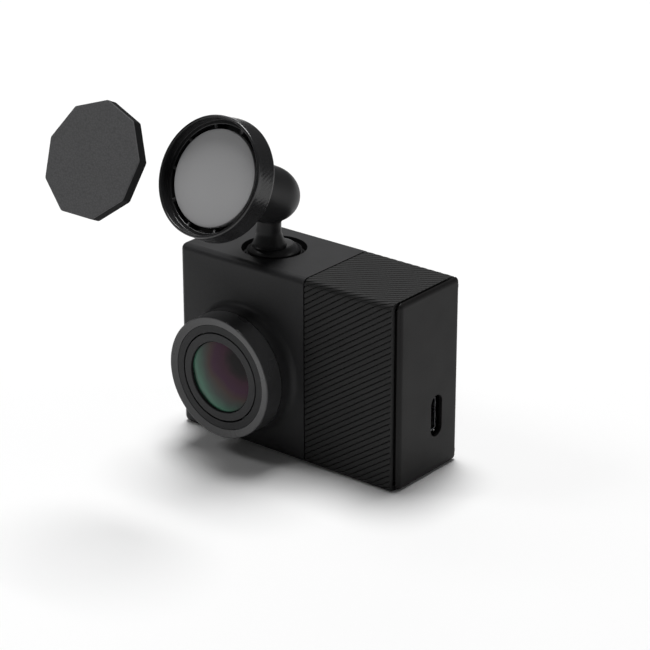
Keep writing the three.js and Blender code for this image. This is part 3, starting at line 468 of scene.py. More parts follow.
def metal(name, colour, roughness, grain, depth, stretch=None, **values):
    """Metal: streaks or pits in its gloss from how it was worked."""
    surface, tree, shader, place = new_surface(name, Metallic=1, Roughness=roughness, **values)
    marks = speckle(tree, place, grain, detail=4, stretch=stretch)
    clouds = speckle(tree, place, 4 * MM)
    tinted = blend_colours(tree, clouds, shade(colour, 0.88), shade(colour, 1.08))
    tree.links.new(tinted, shader.inputs["Base Color"])
    low, high = roughness * 0.7, min(1, roughness * 1.4)
    tree.links.new(between(tree, marks, low, high), shader.inputs["Roughness"])
    raise_surface(tree, shader, marks, depth)
    return surface


# ---- Materials, one for each slot of the record ----
def colours():
    return bpy.context.scene.dash_camera_colours


def smooth_shell():
    """Moulded ABS with a fine spark-eroded texture: dark, matt, with soft broad highlights."""
    return moulded("Spark-Eroded ABS", colours().shell, 0.46, 0.35 * MM, 0.006 * MM)


def textured_shell():
    """Moulded ABS, slightly darker and drier than the plain shell, so that its ridges stay thin."""
    return moulded("Ridged ABS", colours().wrap, 0.5, 0.3 * MM, 0.005 * MM)


def end_cap_shell():
    """ABS from a mould of its own, drier than the plain shell, and darker than it as painted shade."""
    # Painted shade: the colour is darker than the plain shell's to hold down the light on the cap's side.
    return moulded("Shade-Darkened Cap ABS", linear("#141313"), 0.5, 0.35 * MM, 0.006 * MM)


def rear_panel():
    """Moulded ABS with a coarser grain, which hides fingerprints on the back."""
    return moulded("Grained ABS", linear("#242425"), 0.52, 0.5 * MM, 0.008 * MM)


def barrel_coat():
    """Satin moulding with a tight sheen that follows the barrel's edge."""
    return moulded(
        "Satin Polycarbonate", colours().barrel, 0.3, 0.3 * MM, 0.003 * MM, Specular_IOR_Level=0.5
    )


def face_ring():
    """Polycarbonate left dull to keep stray light out of the lens."""
    return moulded("Dull Polycarbonate", linear("#2c2c2d"), 0.5, 0.3 * MM, 0.003 * MM)


def inner_ring():
    """The ring nearest the glass: a shade lighter and smoother than the face ring."""
    return moulded("Fine Polycarbonate", linear("#323233"), 0.46, 0.25 * MM, 0.003 * MM)


def arm_plastic():
    """Glass-filled nylon: darker than the housing, with a slightly tighter highlight."""
    return moulded(
        "Glass-Filled Nylon", linear("#1b1b1c"), 0.42, 0.3 * MM, 0.003 * MM, Specular_IOR_Level=0.22
    )


def head_plastic():
    """Nylon with a glossier skin, which draws a bright line along the rim."""
    return moulded(
        "Glossy Nylon", linear("#1f1f20"), 0.22, 0.3 * MM, 0.001 * MM, Specular_IOR_Level=0.55
    )


def inner_plastic():
    """Plain black nylon of the inner mouldings."""
    return moulded("Black Nylon", linear("#1f1f20"), 0.55, 0.4 * MM, 0.008 * MM)


def card_plastic():
    """Memory-card moulding, hard and slightly glossy."""
    return moulded("Card Epoxy", linear("#161617"), 0.35, 0.3 * MM, 0.003 * MM)


def key_rubber():
    """Silicone rubber: soft-looking and dull, with a dusting that lifts its tone."""
    return moulded("Silicone Rubber", linear("#2a2a2b"), 0.72, 0.3 * MM, 0.01 * MM)


def disc_plate():
    """Bead-blasted aluminium with a matt grey coat: flat, even and pale."""
    return moulded(
        "Bead-Blasted Coat", colours().disc, 0.62, 0.25 * MM, 0.002 * MM, cloud=24 * MM, fleck=1.06
    )


def circuit_board():
    """Green solder mask over glass fibre, with the weave faintly showing through."""
    surface, tree, shader, place = new_surface("Solder Mask", Roughness=0.35, Coat_Weight=0.3)
    weave = add_node(
        tree, "ShaderNodeTexChecker", {"Vector": place}, Scale=1 / (0.5 * MM)
    ).outputs["Fac"]
    clouds = speckle(tree, place, 3 * MM)
    faint = add_node(tree, "ShaderNodeMath", {0: weave, 1: clouds}, operation="MULTIPLY")
    mask = blend_colours(tree, faint.outputs[0], linear("#0f3b22"), linear("#1a5633"))
    tree.links.new(mask, shader.inputs["Base Color"])
    raise_surface(tree, shader, weave, 0.004 * MM)
    return surface


def pressed_steel():
    """Cold-rolled steel, nickel plated: fine rolling lines across a soft shine."""
    return metal("Nickel-Plated Steel", linear("#b9bbbe"), 0.32, 0.3 * MM, 0.003 * MM,
                 stretch=(6 * MM, 0.3 * MM, 0.3 * MM))


def port_steel():
    """Drawn stainless shell, brushed by the die along its depth."""
    return metal("Drawn Stainless", linear("#7c7d80"), 0.36, 0.5 * MM, 0.001 * MM,
                 stretch=(4 * MM, 0.5 * MM, 0.5 * MM))


def screw_steel():
    """Steel with black oxide: dark, with a dry oily shine."""
    return metal("Black-Oxide Steel", linear("#4a4b4d"), 0.38, 0.25 * MM, 0.003 * MM)


def polished_steel():
    """Steel under black enamel: dark, with a soft glint from each light."""
    return moulded(
        "Black-Enamelled Steel", linear("#373738"), 0.33, 0.5 * MM, 0.001 * MM, Specular_IOR_Level=0.4
    )


def magnet_plate():
    """Sintered magnet, barrel-polished and nickel plated: soft shine over tiny pits."""
    return metal("Nickel-Plated Magnet", linear("#a9abae"), 0.26, 0.3 * MM, 0.004 * MM)


def battery_foil():
    """Laminated aluminium foil, drawn over the cell, with shallow creases."""
    return metal("Laminated Foil", linear("#9fa2a8"), 0.4, 1.8 * MM, 0.03 * MM)


def coated_glass():
    """Multi-coated optical glass, with the coating's coloured reflection painted into its colour as
    bands round one corner of the face: dark, then violet, then green, and dark again at the far edge."""
    surface, tree, shader, place = new_surface(
        "Multi-Coated Glass", Roughness=0.1, Specular_IOR_Level=0.15
    )
    far_corner = LENS_CENTRE + Vector((6, 0, 5)) * MM
    offset = add_node(tree, "ShaderNodeVectorMath", {0: place}, operation="SUBTRACT")
    offset.inputs[1].default_value = far_corner
    flat = add_node(tree, "ShaderNodeVectorMath", {0: offset.outputs[0]}, operation="MULTIPLY")
    flat.inputs[1].default_value = (1, 0, 1)
    reach = add_node(tree, "ShaderNodeVectorMath", {0: flat.outputs[0]}, operation="LENGTH")
    sway = add_node(
        tree, "ShaderNodeMath", {0: speckle(tree, place, 4 * MM, detail=1), 2: reach.outputs["Value"]},
        operation="MULTIPLY_ADD",
    )
    sway.inputs[1].default_value = 2.4 * MM
    share = add_node(
        tree, "ShaderNodeMapRange", {"Value": sway.outputs[0]}, From_Min=3.2 * MM, From_Max=16.7 * MM
    )
    # Painted reflection: the coating's coloured bands are fixed in the base colour of the glass.
    painted_reflection_ramp = add_node(tree, "ShaderNodeValToRGB", {"Fac": share.outputs["Result"]})
    stops = (
        (0.02, "#171415"), (0.1, "#2a1c22"), (0.18, "#3d2130"), (0.38, "#402338"),
        (0.5, "#463735"), (0.64, "#3f4844"), (0.86, "#44705d"), (0.96, "#1a3228"),
    )
    while len(painted_reflection_ramp.color_ramp.elements) < len(stops):
        painted_reflection_ramp.color_ramp.elements.new(0.5)
    for element, (position, colour) in zip(painted_reflection_ramp.color_ramp.elements, stops):
        element.position = position
        element.color = [*linear(colour), 1]
    tree.links.new(painted_reflection_ramp.outputs["Color"], shader.inputs["Base Color"])
    return surface


def filter_glass():
    """Infrared filter: cyan glass clouded with pink."""
    surface, tree, shader, place = new_surface("Infrared Filter Glass", Roughness=0.05, IOR=1.52)
    tint = blend_colours(tree, speckle(tree, place, 4 * MM), linear("#6fb3bd"), linear("#b98a9e"))
    tree.links.new(tint, shader.inputs["Base Color"])
    return surface


def screen_glass():
    """Cover glass over a black mask, with the panel a shade lighter behind it."""
    surface, tree, shader, place = new_surface(
        "Chemically Strengthened Glass", IOR=1.51, Coat_Weight=0.6, Coat_Roughness=0.03
    )
    axes = add_node(tree, "ShaderNodeSeparateXYZ", {"Vector": place})
    inside = None
    for axis, half, centre in (
        ("X", (WINDOW_HIGH.x - WINDOW_LOW.x) / 2 - 1.6 * MM, (WINDOW_HIGH.x + WINDOW_LOW.x) / 2),
        ("Z", (WINDOW_HIGH.z - WINDOW_LOW.z) / 2 - 1.6 * MM, (WINDOW_HIGH.z + WINDOW_LOW.z) / 2),
    ):
        offset = add_node(tree, "ShaderNodeMath", {0: axes.outputs[axis]}, operation="SUBTRACT")
        offset.inputs[1].default_value = centre
        size = add_node(tree, "ShaderNodeMath", {0: offset.outputs[0]}, operation="ABSOLUTE")
        test = add_node(tree, "ShaderNodeMath", {0: size.outputs[0]}, operation="LESS_THAN")
        test.inputs[1].default_value = half
        if inside:
            both = add_node(
                tree, "ShaderNodeMath", {0: inside, 1: test.outputs[0]}, operation="MULTIPLY"
            )
            inside = both.outputs[0]
        else:
            inside = test.outputs[0]
    mask = blend_colours(tree, inside, linear("#060607"), linear("#15171a"))
    tree.links.new(mask, shader.inputs["Base Color"])
    smears = between(tree, speckle(tree, place, 7 * MM), 0.03, 0.09)
    tree.links.new(smears, shader.inputs["Roughness"])
    return surface


def display_glass():
    """Display panel and sensor: dark silicon under glass, with a blue cast."""
    surface, tree, shader, place = new_surface("Panel Glass", Roughness=0.12, IOR=1.5)
    tint = blend_colours(tree, speckle(tree, place, 3 * MM), linear("#0c0e14"), linear("#1b2230"))
    tree.links.new(tint, shader.inputs["Base Color"])
    return surface


def light_lens():
    """Clear polycarbonate light pipe: milky where its core shows through."""
    surface, tree, shader, place = new_surface("Clear Polycarbonate", Roughness=0.15, IOR=1.58)
    tint = blend_colours(tree, speckle(tree, place, 0.5 * MM), linear("#8f9496"), linear("#c9cdce"))
    tree.links.new(tint, shader.inputs["Base Color"])
    return surface


def pad_foam():
    """Acrylic foam with a fine leather-like grain pressed into its face, and near-black painted shade on
    its sides.
    """
    surface, tree, shader, place = new_surface(
        "Grained Acrylic Foam", Roughness=0.66, Specular_IOR_Level=0.1
    )
    pebbles = add_node(
        tree, "ShaderNodeTexVoronoi", {"Vector": place}, Scale=1 / (0.4 * MM)
    ).outputs["Distance"]
    clouds = speckle(tree, place, 5 * MM)
    fine = speckle(tree, place, 0.3 * MM)
    colour = colours().pad
    toned = blend_colours(tree, clouds, shade(colour, 0.92), shade(colour, 1.08))
    grained = blend_colours(tree, pebbles, toned, shade(colour, 0.75))
    height = add_node(tree, "ShaderNodeVectorMath", {0: place}, operation="DOT_PRODUCT")
    height.inputs[1].default_value = HEAD_AXIS
    face = PAD_FACE.dot(HEAD_AXIS)
    near_face = add_node(
        tree, "ShaderNodeMapRange", {"Value": height.outputs["Value"]},
        From_Min=face - 0.3 * MM, From_Max=face - 0.15 * MM,
    ).outputs["Result"]
    # Painted shade: everything below the face gets a near-black colour.
    face_and_shaded_sides = blend_colours(tree, near_face, linear("#141415"), grained)
    tree.links.new(face_and_shaded_sides, shader.inputs["Base Color"])
    tree.links.new(between(tree, fine, 0.6, 0.75), shader.inputs["Roughness"])
    raise_surface(tree, shader, pebbles, -0.02 * MM)
    return surface


FINISHES = {
    maker.__name__: maker
    for maker in (
        smooth_shell, textured_shell, end_cap_shell, rear_panel, barrel_coat, face_ring, inner_ring,
        arm_plastic, head_plastic, inner_plastic, card_plastic, key_rubber, disc_plate,
        circuit_board, pressed_steel, port_steel, screw_steel, polished_steel, magnet_plate,
        battery_foil, coated_glass, filter_glass, screen_glass, display_glass, light_lens, pad_foam,
    )
}
made_finishes = {}


def finish_for(slot):
    if slot not in made_finishes:
        made_finishes[slot] = FINISHES[slot]()
    return made_finishes[slot]


# ---- Stage ----
class DASHCAM_OT_stage(bpy.types.Operator):
    """Pale floor, soft lights, world and camera"""

    bl_idname = "dashcam.stage"
    bl_label = "Stage"

    def execute(self, context):
        scene = context.scene
        scene.view_settings.view_transform = "Standard"
        self.floor()
        self.world(scene)
        for name, spot, aim, size, power in (
            ("key_light", (-0.25, 0.35, 2.0), (0, 0, 0.03), 0.95, 42.0),
            ("front_light", (-0.58, -0.39, 0.72), (0, 0, 0.03), 0.3, 0.9),
            ("back_light", (-0.58, 0.72, 0.42), (0, 0, 0.03), 0.5, 0.35),
            ("side_light", (0.8, 0.45, 0.3), (0, 0, 0.03), 0.4, 0.5),
        ):
            self.light(name, spot, aim, size, power)
        self.camera(scene)
        return {"FINISHED"}

    def floor(self):
        deselect()
        bpy.ops.mesh.primitive_plane_add(size=6, location=(0, 0, 0))
        ground = added("floor")
        surface, tree, shader, place = new_surface("Painted Board", Roughness=0.8)
        tone = speckle(tree, place, 0.3)
        shades = blend_colours(tree, tone, (0.9, 0.9, 0.9), (0.93, 0.93, 0.93))
        tree.links.new(shades, shader.inputs["Base Color"])
        ground.data.materials.append(surface)

    def world(self, scene):
        room = bpy.data.worlds.new("room")
        scene.world = room
        room.use_nodes = True
        background = room.node_tree.nodes["Background"]
        background.inputs["Color"].default_value = (1, 1, 1, 1)
        background.inputs["Strength"].default_value = 0.07

    def light(self, name, spot, aim, size, power):
        deselect()
        bpy.ops.object.light_add(type="AREA", location=spot)
        lamp = bpy.context.object
        lamp.name = name
        lamp.data.name = name
        lamp.data.shape = "DISK"
        lamp.data.size = size
        lamp.data.energy = power
        direction = Vector(aim) - Vector(spot)
        lamp.rotation_euler = direction.to_track_quat("-Z", "Y").to_euler()

    def camera(self, scene):
        azimuth, elevation = math.radians(38.67), math.radians(22.86)
        back = Vector((
            math.sin(azimuth) * math.cos(elevation),
            -math.cos(azimuth) * math.cos(elevation),
            math.sin(elevation),
        ))
        right = Vector((math.cos(azimuth), math.sin(azimuth), 0))
        up = back.cross(right)
        target = (Vector((0, -0.6, 20)) + 1.86 * right + 5.64 * up) * MM
        deselect()
        bpy.ops.object.camera_add(location=target + back * 512.9 * MM)
        camera = bpy.context.object
        camera.name = "camera"
        camera.rotation_euler = (-back).to_track_quat("-Z", "Y").to_euler()
        camera.data.sensor_width = 36
        camera.data.lens = 138.07
        camera.data.clip_start = 0.01
        scene.camera = camera


# ---- Housing ----
def housing_blank(name, x0, x1, rounded_end=None):
    """The housing's rounded bar between two stations, with one end rounded over as well."""
    radius = bpy.context.scene.dash_camera_sizes.edge_radius
    blank = block(name, (x0, FRONT, 0), (x1, BACK, TOP))

    def at_end(a, b):
        return rounded_end is not None and near(a.x, rounded_end) and near(b.x, rounded_end)

    return bevel_edges(blank, lambda a, b: along_x(a, b) or at_end(a, b), radius)


def inner_block(name, x0, x1, inset, back=BACK + WALL):
    """A box that fills the housing's inside between two stations, as far back as given."""
    return block(name, (x0, FRONT + inset, inset), (x1, back, TOP - inset))


def ring_frame(name, x0, x1, inset, thickness, back=COVER_LOW.y - GAP):
    """A lip inside the walls between two stations, which ends in front of the rear cover."""
    lip = inner_block(name, x0, x1, inset, back)
    room = inner_block("room", x0 - WALL, x1 + WALL, inset + thickness)
    return combine(lip, room)


def slot_cutter(name, x0, x1, y, z, width, height):
    """A round-ended slot through a side wall."""
    half = Vector((0, width / 2, height / 2))
    centre = Vector((0, y, z))
    tool = block(name, centre - half + Vector((x0, 0, 0)), centre + half + Vector((x1, 0, 0)))
    return bevel_edges(tool, along_x, width * 0.49, segments=8)


class DASHCAM_OT_housing(bpy.types.Operator):
    """Plain front shell with its lens boss, mount recess, card slot and microphone hole"""

    bl_idname = "dashcam.housing"
    bl_label = "Housing"

    BOSS_FILLET = 1.7  # millimetres
    BOSS_WALL = 1.25 * MM
    RECESS_MARGIN = 2.24 * MM  # recess beyond the magnet in the foot

    def execute(self, context):
        shell = housing_blank("housing_shell", LEFT, SHELL_EDGE, rounded_end=LEFT)
        combine(shell, inner_block("cavity", LEFT + WALL, SHELL_EDGE + WALL, WALL))
        lining = ring_frame("lining", SHELL_EDGE - LIP_REACH, SHELL_EDGE - 0.1 * MM, WALL - 0.1 * MM, LIP)
        combine(shell, lining, "UNION")
        recess_radius = span("foot_magnet").x / 2 + self.RECESS_MARGIN
        recess_place = Matrix.Translation((FOOT_CENTRE.x, FOOT_CENTRE.y, TOP))
        combine(shell, rod("recess", recess_radius, -2 * WALL, WALL, recess_place, 96))
        card = middle("memory_card")
        card_size = span("memory_card")
        combine(shell, slot_cutter(
            "card_slot", LEFT - WALL, LEFT + 2 * WALL, card.y, card.z,
            card_size.y + 2 * GAP, card_size.z + 4 * GAP,
        ))
        ear = middle("microphone")
        ear_place = Matrix.Translation((LEFT, ear.y, ear.z)) @ Matrix.Rotation(math.pi / 2, 4, "Y")
        combine(shell, rod("ear", 0.6 * MM, -WALL, 2 * WALL, ear_place, 24))
        soften(shell)
        lip = ring_frame("lip", SHELL_EDGE - LIP_REACH / 2, SHELL_EDGE + LIP_REACH - GAP, WALL + GAP, LIP)
        combine(shell, lip, "UNION")
        self.boss(shell)
        hand_over(smooth(shell), "front_housing")
        return {"FINISHED"}

    def boss(self, shell):
        """Joins the round boss, which runs into the front in a hollow fillet, and bores it."""
        edge = BARREL_RADIUS / MM + 0.05
        reach = (FRONT - SHELL_LOW.y) / MM
        boss = turned("boss", [
            (0, -0.7), (edge + 1.8, -0.7), (edge + 1.8, -0.05), (edge, -0.05, self.BOSS_FILLET),
            (edge, reach), (0, reach),
        ], LENS_PLACE, 128)
        combine(shell, boss, "UNION")
        bore_radius = BARREL_RADIUS - self.BOSS_WALL
        combine(shell, rod("bore", bore_radius, -2 * WALL, 5 * WALL, LENS_PLACE, 128))


class DASHCAM_OT_wrap(bpy.types.Operator):
    """Wrap with fine slanting ridges that run on over its edges"""

    bl_idname = "dashcam.wrap"
    bl_label = "Ridged wrap"

    GROOVE = 0.14  # share of the pitch from a groove's bottom to its shoulder
    SHOULDER = 0.2  # share of the depth by which a shoulder is lower than the crest
    SEAM_SHADOW = 0.25 * MM  # what the wrap stops short, to draw the seam beside the cap
    CUT = 1e-7  # threshold of a cut, in metres

    def execute(self, context):
        sizes = context.scene.dash_camera_sizes
        wrap = housing_blank("ridged_wrap", WRAP_LOW.x, WRAP_HIGH.x - self.SEAM_SHADOW)
        with editing(wrap):
            pick(wrap, faces=lambda f: abs(f.normal.x) > 0.9 or f.normal.y > 0.999)
            bpy.ops.mesh.delete(type="FACE")
            bpy.ops.mesh.select_all(action="SELECT")
            bpy.ops.mesh.bisect(plane_co=(0, 0, TOP / 2), plane_no=(0, 0, 1), threshold=self.CUT)
        modify(wrap, "SOLIDIFY", thickness=0.85 * WALL, offset=-1, use_even_offset=True)
        with editing(wrap):
            self.cut_lines(wrap, sizes, 1)
            self.cut_lines(wrap, sizes, -1)
            self.sink_grooves(wrap, sizes)
        self.drill_grille(wrap)
        hand_over(smooth(wrap, angle=20), "textured_wrap")
        return {"FINISHED"}

    def cut_lines(self, wrap, sizes, lean):
        """Cuts the upper half, lean 1, or the lower, lean -1, along every groove, shoulder and crest."""
        slope = math.tan(sizes.ridge_angle)
        pitch = sizes.ridge_pitch
        normal = Vector((-slope, lean, 1))
        reach = TOP / 2 + BACK - FRONT
        ends = [TOP / 2 - x * slope for x in (WRAP_LOW.x, WRAP_HIGH.x)]
        low = min(ends) - (reach if lean < 0 else 0)
        high = max(ends) + (reach if lean > 0 else 0)
        for line in range(math.floor(low / pitch), math.ceil(high / pitch) + 1):
            for share in (0, self.GROOVE, 0.5, 1 - self.GROOVE):
                height = (line + share) * pitch
                if not low < height < high:
                    continue
                pick(wrap, faces=lambda f: self.is_outside(f.calc_center_median(), sizes, lean))
                bpy.ops.mesh.bisect(
                    plane_co=(0, FRONT, height), plane_no=normal, threshold=self.CUT
                )

    def from_spine(self, point, sizes):
        """How far and in which direction a point stands out from the middle of the rounding."""
        inset = sizes.edge_radius
        return point - Vector((
            point.x,
            min(max(point.y, FRONT + inset), BACK - inset),
            min(max(point.z, inset), TOP - inset),
        ))

    def is_outside(self, point, sizes, lean=0):
        on_half = lean == 0 or (point.z - TOP / 2) * lean > 0
        return on_half and self.from_spine(point, sizes).length > 0.9 * sizes.edge_radius

    def sink_grooves(self, wrap, sizes):
        """Lowers each point of the outside by its place between two crests."""
        slope = math.tan(sizes.ridge_angle)
        mesh = bmesh.from_edit_mesh(wrap.data)
        for vert in [v for v in mesh.verts if self.is_outside(v.co, sizes)]:
            lean = 1 if vert.co.z >= TOP / 2 else -1
            height = vert.co.z - vert.co.x * slope + lean * (vert.co.y - FRONT)
            share = height / sizes.ridge_pitch % 1
            share = min(share, 1 - share)
            low = 1 - self.SHOULDER
            sunk = 1 - low * share / self.GROOVE if share < self.GROOVE else (
                self.SHOULDER * (0.5 - share) / (0.5 - self.GROOVE)
            )
            vert.co -= self.from_spine(vert.co, sizes).normalized() * sunk * sizes.ridge_depth
        bmesh.update_edit_mesh(wrap.data)

    def drill_grille(self, wrap):
        """Nine holes in the bottom under the speaker."""
        speaker = middle("speaker")
        pitch, hole_radius = 2 * MM, 0.6 * MM
        for i in (-1, 0, 1):
            for j in (-1, 0, 1):
                spot = Matrix.Translation((speaker.x + i * pitch, speaker.y + j * pitch, 0))
                combine(wrap, rod("grille_hole", hole_radius, -WALL, 2 * WALL, spot, 20))


class DASHCAM_OT_end_cap(bpy.types.Operator):
    """End cap with the opening for the power plug, and the power socket in it"""

    bl_idname = "dashcam.end_cap"
    bl_label = "End cap"

    BLANK = 5 * MM  # the blank's length, of which only the cap's end is kept
    FRONT_CORNER = 2.3 * MM
    FRONT_PROFILE = 0.34  # flattens the front corner
    BACK_CORNER = 1.2 * MM

    def execute(self, context):
        cap = block("end_cap_shell", (RIGHT - self.BLANK, FRONT, 0), (RIGHT, BACK, TOP))

        def upright(a, b, side):
            return near(a.x, RIGHT) and near(a.y, side) and along_z(a, b)

        bevel_edges(
            cap, lambda a, b: upright(a, b, FRONT), self.FRONT_CORNER, profile=self.FRONT_PROFILE
        )
        bevel_edges(cap, lambda a, b: upright(a, b, BACK), self.BACK_CORNER)
        bevel_edges(cap, self.on_rim, context.scene.dash_camera_sizes.edge_radius)
        with editing(cap):
            bpy.ops.mesh.select_all(action="SELECT")
            bpy.ops.mesh.bisect(
                plane_co=(CAP_EDGE, 0, 0), plane_no=(1, 0, 0), clear_inner=True, use_fill=True,
                threshold=1e-7,
            )
        soften(cap, 0.12 * MM)
        lip = ring_frame("cap_lip", CAP_LOW.x, CAP_EDGE + 0.4 * MM, WALL + GAP, LIP, BACK - GAP)
        combine(cap, lip, "UNION")
        port = middle("port_shell")
        opening = slot_cutter("opening", RIGHT - 8 * MM, RIGHT + MM, port.y, port.z, 3.7 * MM, 9.1 * MM)
        combine(cap, opening)
        hand_over(smooth(soften(cap, 0.1 * MM)), "end_cap")
        self.socket()
        return {"FINISHED"}

    def on_rim(self, a, b):
        """Whether an edge runs round the top or the bottom face, apart from its open end."""
        at_open_end = near(a.x, RIGHT - self.BLANK) and near(b.x, RIGHT - self.BLANK)
        return near(a.z, b.z) and (near(a.z, 0) or near(a.z, TOP)) and not at_open_end

    def socket(self):
        low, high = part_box("port_shell")
        shell = block("power_socket_shell", low, high)
        bevel_edges(shell, along_x, 0.9 * MM)
        wall = Vector((0, 0.35, 0.35)) * MM
        room = block("room", low + wall + Vector((MM, 0, 0)), high - wall + Vector((MM, 0, 0)))
        combine(shell, bevel_edges(room, along_x, 0.6 * MM))
        hand_over(smooth(soften(shell, 0.05 * MM)), "port_shell")
        low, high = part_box("port_tongue")
        tongue = bevel_edges(block("power_socket_tongue", low, high), lambda a, b: True, 0.12 * MM, 2)
        for i in range(5):
            z = middle("port_tongue").z + (i - 2) * 0.65 * MM
            contact = block(
                "contact", (low.x + 0.4 * MM, high.y - 0.02 * MM, z - 0.14 * MM),
                (high.x - 0.3 * MM, high.y + 0.06 * MM, z + 0.14 * MM),
            )
            combine(tongue, contact, "UNION")
        hand_over(smooth(tongue), "port_tongue")


# ---- Back ----
class DASHCAM_OT_back(bpy.types.Operator):
    """Rear cover, screen glass, four keys and the status light"""

    bl_idname = "dashcam.back"
    bl_label = "Back"

    def execute(self, context):
        self.cover()
        self.window()
        self.keys()
        self.light()
        return {"FINISHED"}

    def cover(self):
        cover = block("rear_cover_panel", COVER_LOW, COVER_HIGH)
        margin = Vector((GAP, 0, GAP))
        seat = block(
            "seat", WINDOW_LOW - margin - Vector((0, GAP, 0)), WINDOW_HIGH + margin + Vector((0, MM, 0))
        )
        combine(cover, seat)
        ledge = Vector((0.8, 0, 0.8)) * MM
        view = block("view", WINDOW_LOW + ledge - Vector((0, 3 * MM, 0)), WINDOW_HIGH - ledge)
        combine(cover, view)
        for i in range(4):
            low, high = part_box(f"key_{i + 1}")
            centre = (low + high) / 2
            half = Vector((2.8, 3, 3.1)) * MM
            hole = block("hole", centre - half, centre + half)
            combine(cover, bevel_edges(hole, along_y, 1.3 * MM))
        lamp = middle("status_light")
        lamp_place = Matrix.Translation(lamp) @ Matrix.Rotation(math.pi / 2, 4, "X")
        combine(cover, rod("hole", 0.9 * MM, -3 * MM, 3 * MM, lamp_place, 32))
        hand_over(smooth(soften(cover, 0.15 * MM)), "rear_cover")

    def window(self):
        glass = block("screen_cover_glass", WINDOW_LOW, WINDOW_HIGH)
        bevel_edges(glass, along_y, 1.0 * MM)
        hand_over(smooth(soften(glass, 0.12 * MM)), "display_window")

    def keys(self):
        low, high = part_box("key_1")
        flange_back = COVER_LOW.y - GAP
        inset = Vector((0.3, 0, 0.6)) * MM
        cap = block("key_cap_1", low + inset + Vector((0, 0.4 * MM, 0)), high - inset)
        bevel_edges(cap, along_y, 1.0 * MM)
        bevel_edges(cap, lambda a, b: near(a.y, high.y) and near(b.y, high.y), 0.25 * MM, 3)
        flange = block("flange", low, (high.x, flange_back, high.z))
        combine(cap, flange, "UNION")
        middle_key = (low + high) / 2
        bar = block(
            "bar", (middle_key.x - 1.1 * MM, high.y - 0.1 * MM, middle_key.z - 0.22 * MM),
            (middle_key.x + 1.1 * MM, high.y + 0.12 * MM, middle_key.z + 0.22 * MM),
        )
        combine(cap, bevel_edges(bar, along_y, 0.2 * MM, 4), "UNION")
        smooth(soften(cap, 0.05 * MM))
        for i in range(1, 4):
            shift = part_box(f"key_{i + 1}")[0] - low
            hand_over(copied(cap, f"key_cap_{i + 1}", shift), f"key_{i + 1}")
        hand_over(cap, "key_1")

    def light(self):
        low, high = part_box("status_light")
        centre = (low + high) / 2
        place = Matrix.Translation((centre.x, low.y, centre.z)) @ Matrix.Rotation(-math.pi / 2, 4, "X")
        radius = (high.x - low.x) / 2 / MM
        length = (high.y - low.y) / MM
        lamp = turned(
            "status_light_pipe",
            [(0, 0), (radius, 0), (radius, length - 0.1, 0.2), (0.2, length), (0, length)], place, 32,
        )
        hand_over(smooth(lamp), "status_light")


# ---- Lens ----
class DASHCAM_OT_lens(bpy.types.Operator):
    """Lens barrel, its two rings, the front glass and the tube behind it"""

    bl_idname = "dashcam.lens"
    bl_label = "Lens"

    # Radii and heights in millimetres. Heights are in front of the housing.
    RIM = 1.75  # width of the barrel's front rim
    SLEEVE = 1.55  # barrel's radius less the sleeve's
    BACK = 3.45  # back of the barrel
    SLEEVE_LENGTH = 4.6
    GLASS_RADIUS = 7.5
    GLASS_EDGE = 1.3
    GLASS_CROWN = 0.9

    def execute(self, context):
        reach = LENS_REACH / MM
        radius = BARREL_RADIUS / MM
        mouth = radius - self.RIM
        sleeve = radius - self.SLEEVE
        back = self.BACK
        barrel = turned("lens_barrel_shell", [
            (sleeve, back - self.SLEEVE_LENGTH), (sleeve, back, 0.1), (radius, back, 0.1),
            (radius, reach, 0.25), (mouth, reach - 0.36, 0.06),
            (mouth, reach - 2.5), (7, reach - 2.5), (7, reach - 3.7),
            (sleeve - 0.8, reach - 3.7), (sleeve - 0.8, back - self.SLEEVE_LENGTH),
            (sleeve, back - self.SLEEVE_LENGTH),
        ], LENS_PLACE, 160)
        hand_over(smooth(barrel), "lens_barrel")
        face = reach - 0.42
        ring_back = reach - 2.2
        outer = turned("lens_face_ring_part", [
            (9.7, ring_back), (mouth - 0.05, ring_back), (mouth - 0.05, face, 0.04),
            (9.7, face, 0.08), (9.7, ring_back),
        ], LENS_PLACE, 128)
        hand_over(smooth(outer), "lens_face_ring")
        inner = turned("lens_inner_ring_part", [
            (7.7, ring_back), (9.4, ring_back), (9.4, face - 0.02, 0.08),
            (7.7, face - 0.02, 0.15), (7.7, ring_back),
        ], LENS_PLACE, 128)
        hand_over(smooth(inner), "lens_inner_ring")
        self.glass(ring_back)
        return {"FINISHED"}

    def glass(self, back):
        radius, edge, crown = self.GLASS_RADIUS, self.GLASS_EDGE, self.GLASS_CROWN
        sphere = (radius**2 + crown**2) / (2 * crown)
        half = math.asin(radius / sphere)
        dome = []
        for i in range(13):
            angle = half * (1 - i / 12)
            dome.append((sphere * math.sin(angle), back + edge + crown - sphere * (1 - math.cos(angle))))
        profile = [(0, back), (radius, back), *dome[:-1], (0, dome[-1][1])]
        hand_over(smooth(turned("front_lens_glass", profile, LENS_PLACE, 96)), "front_element")


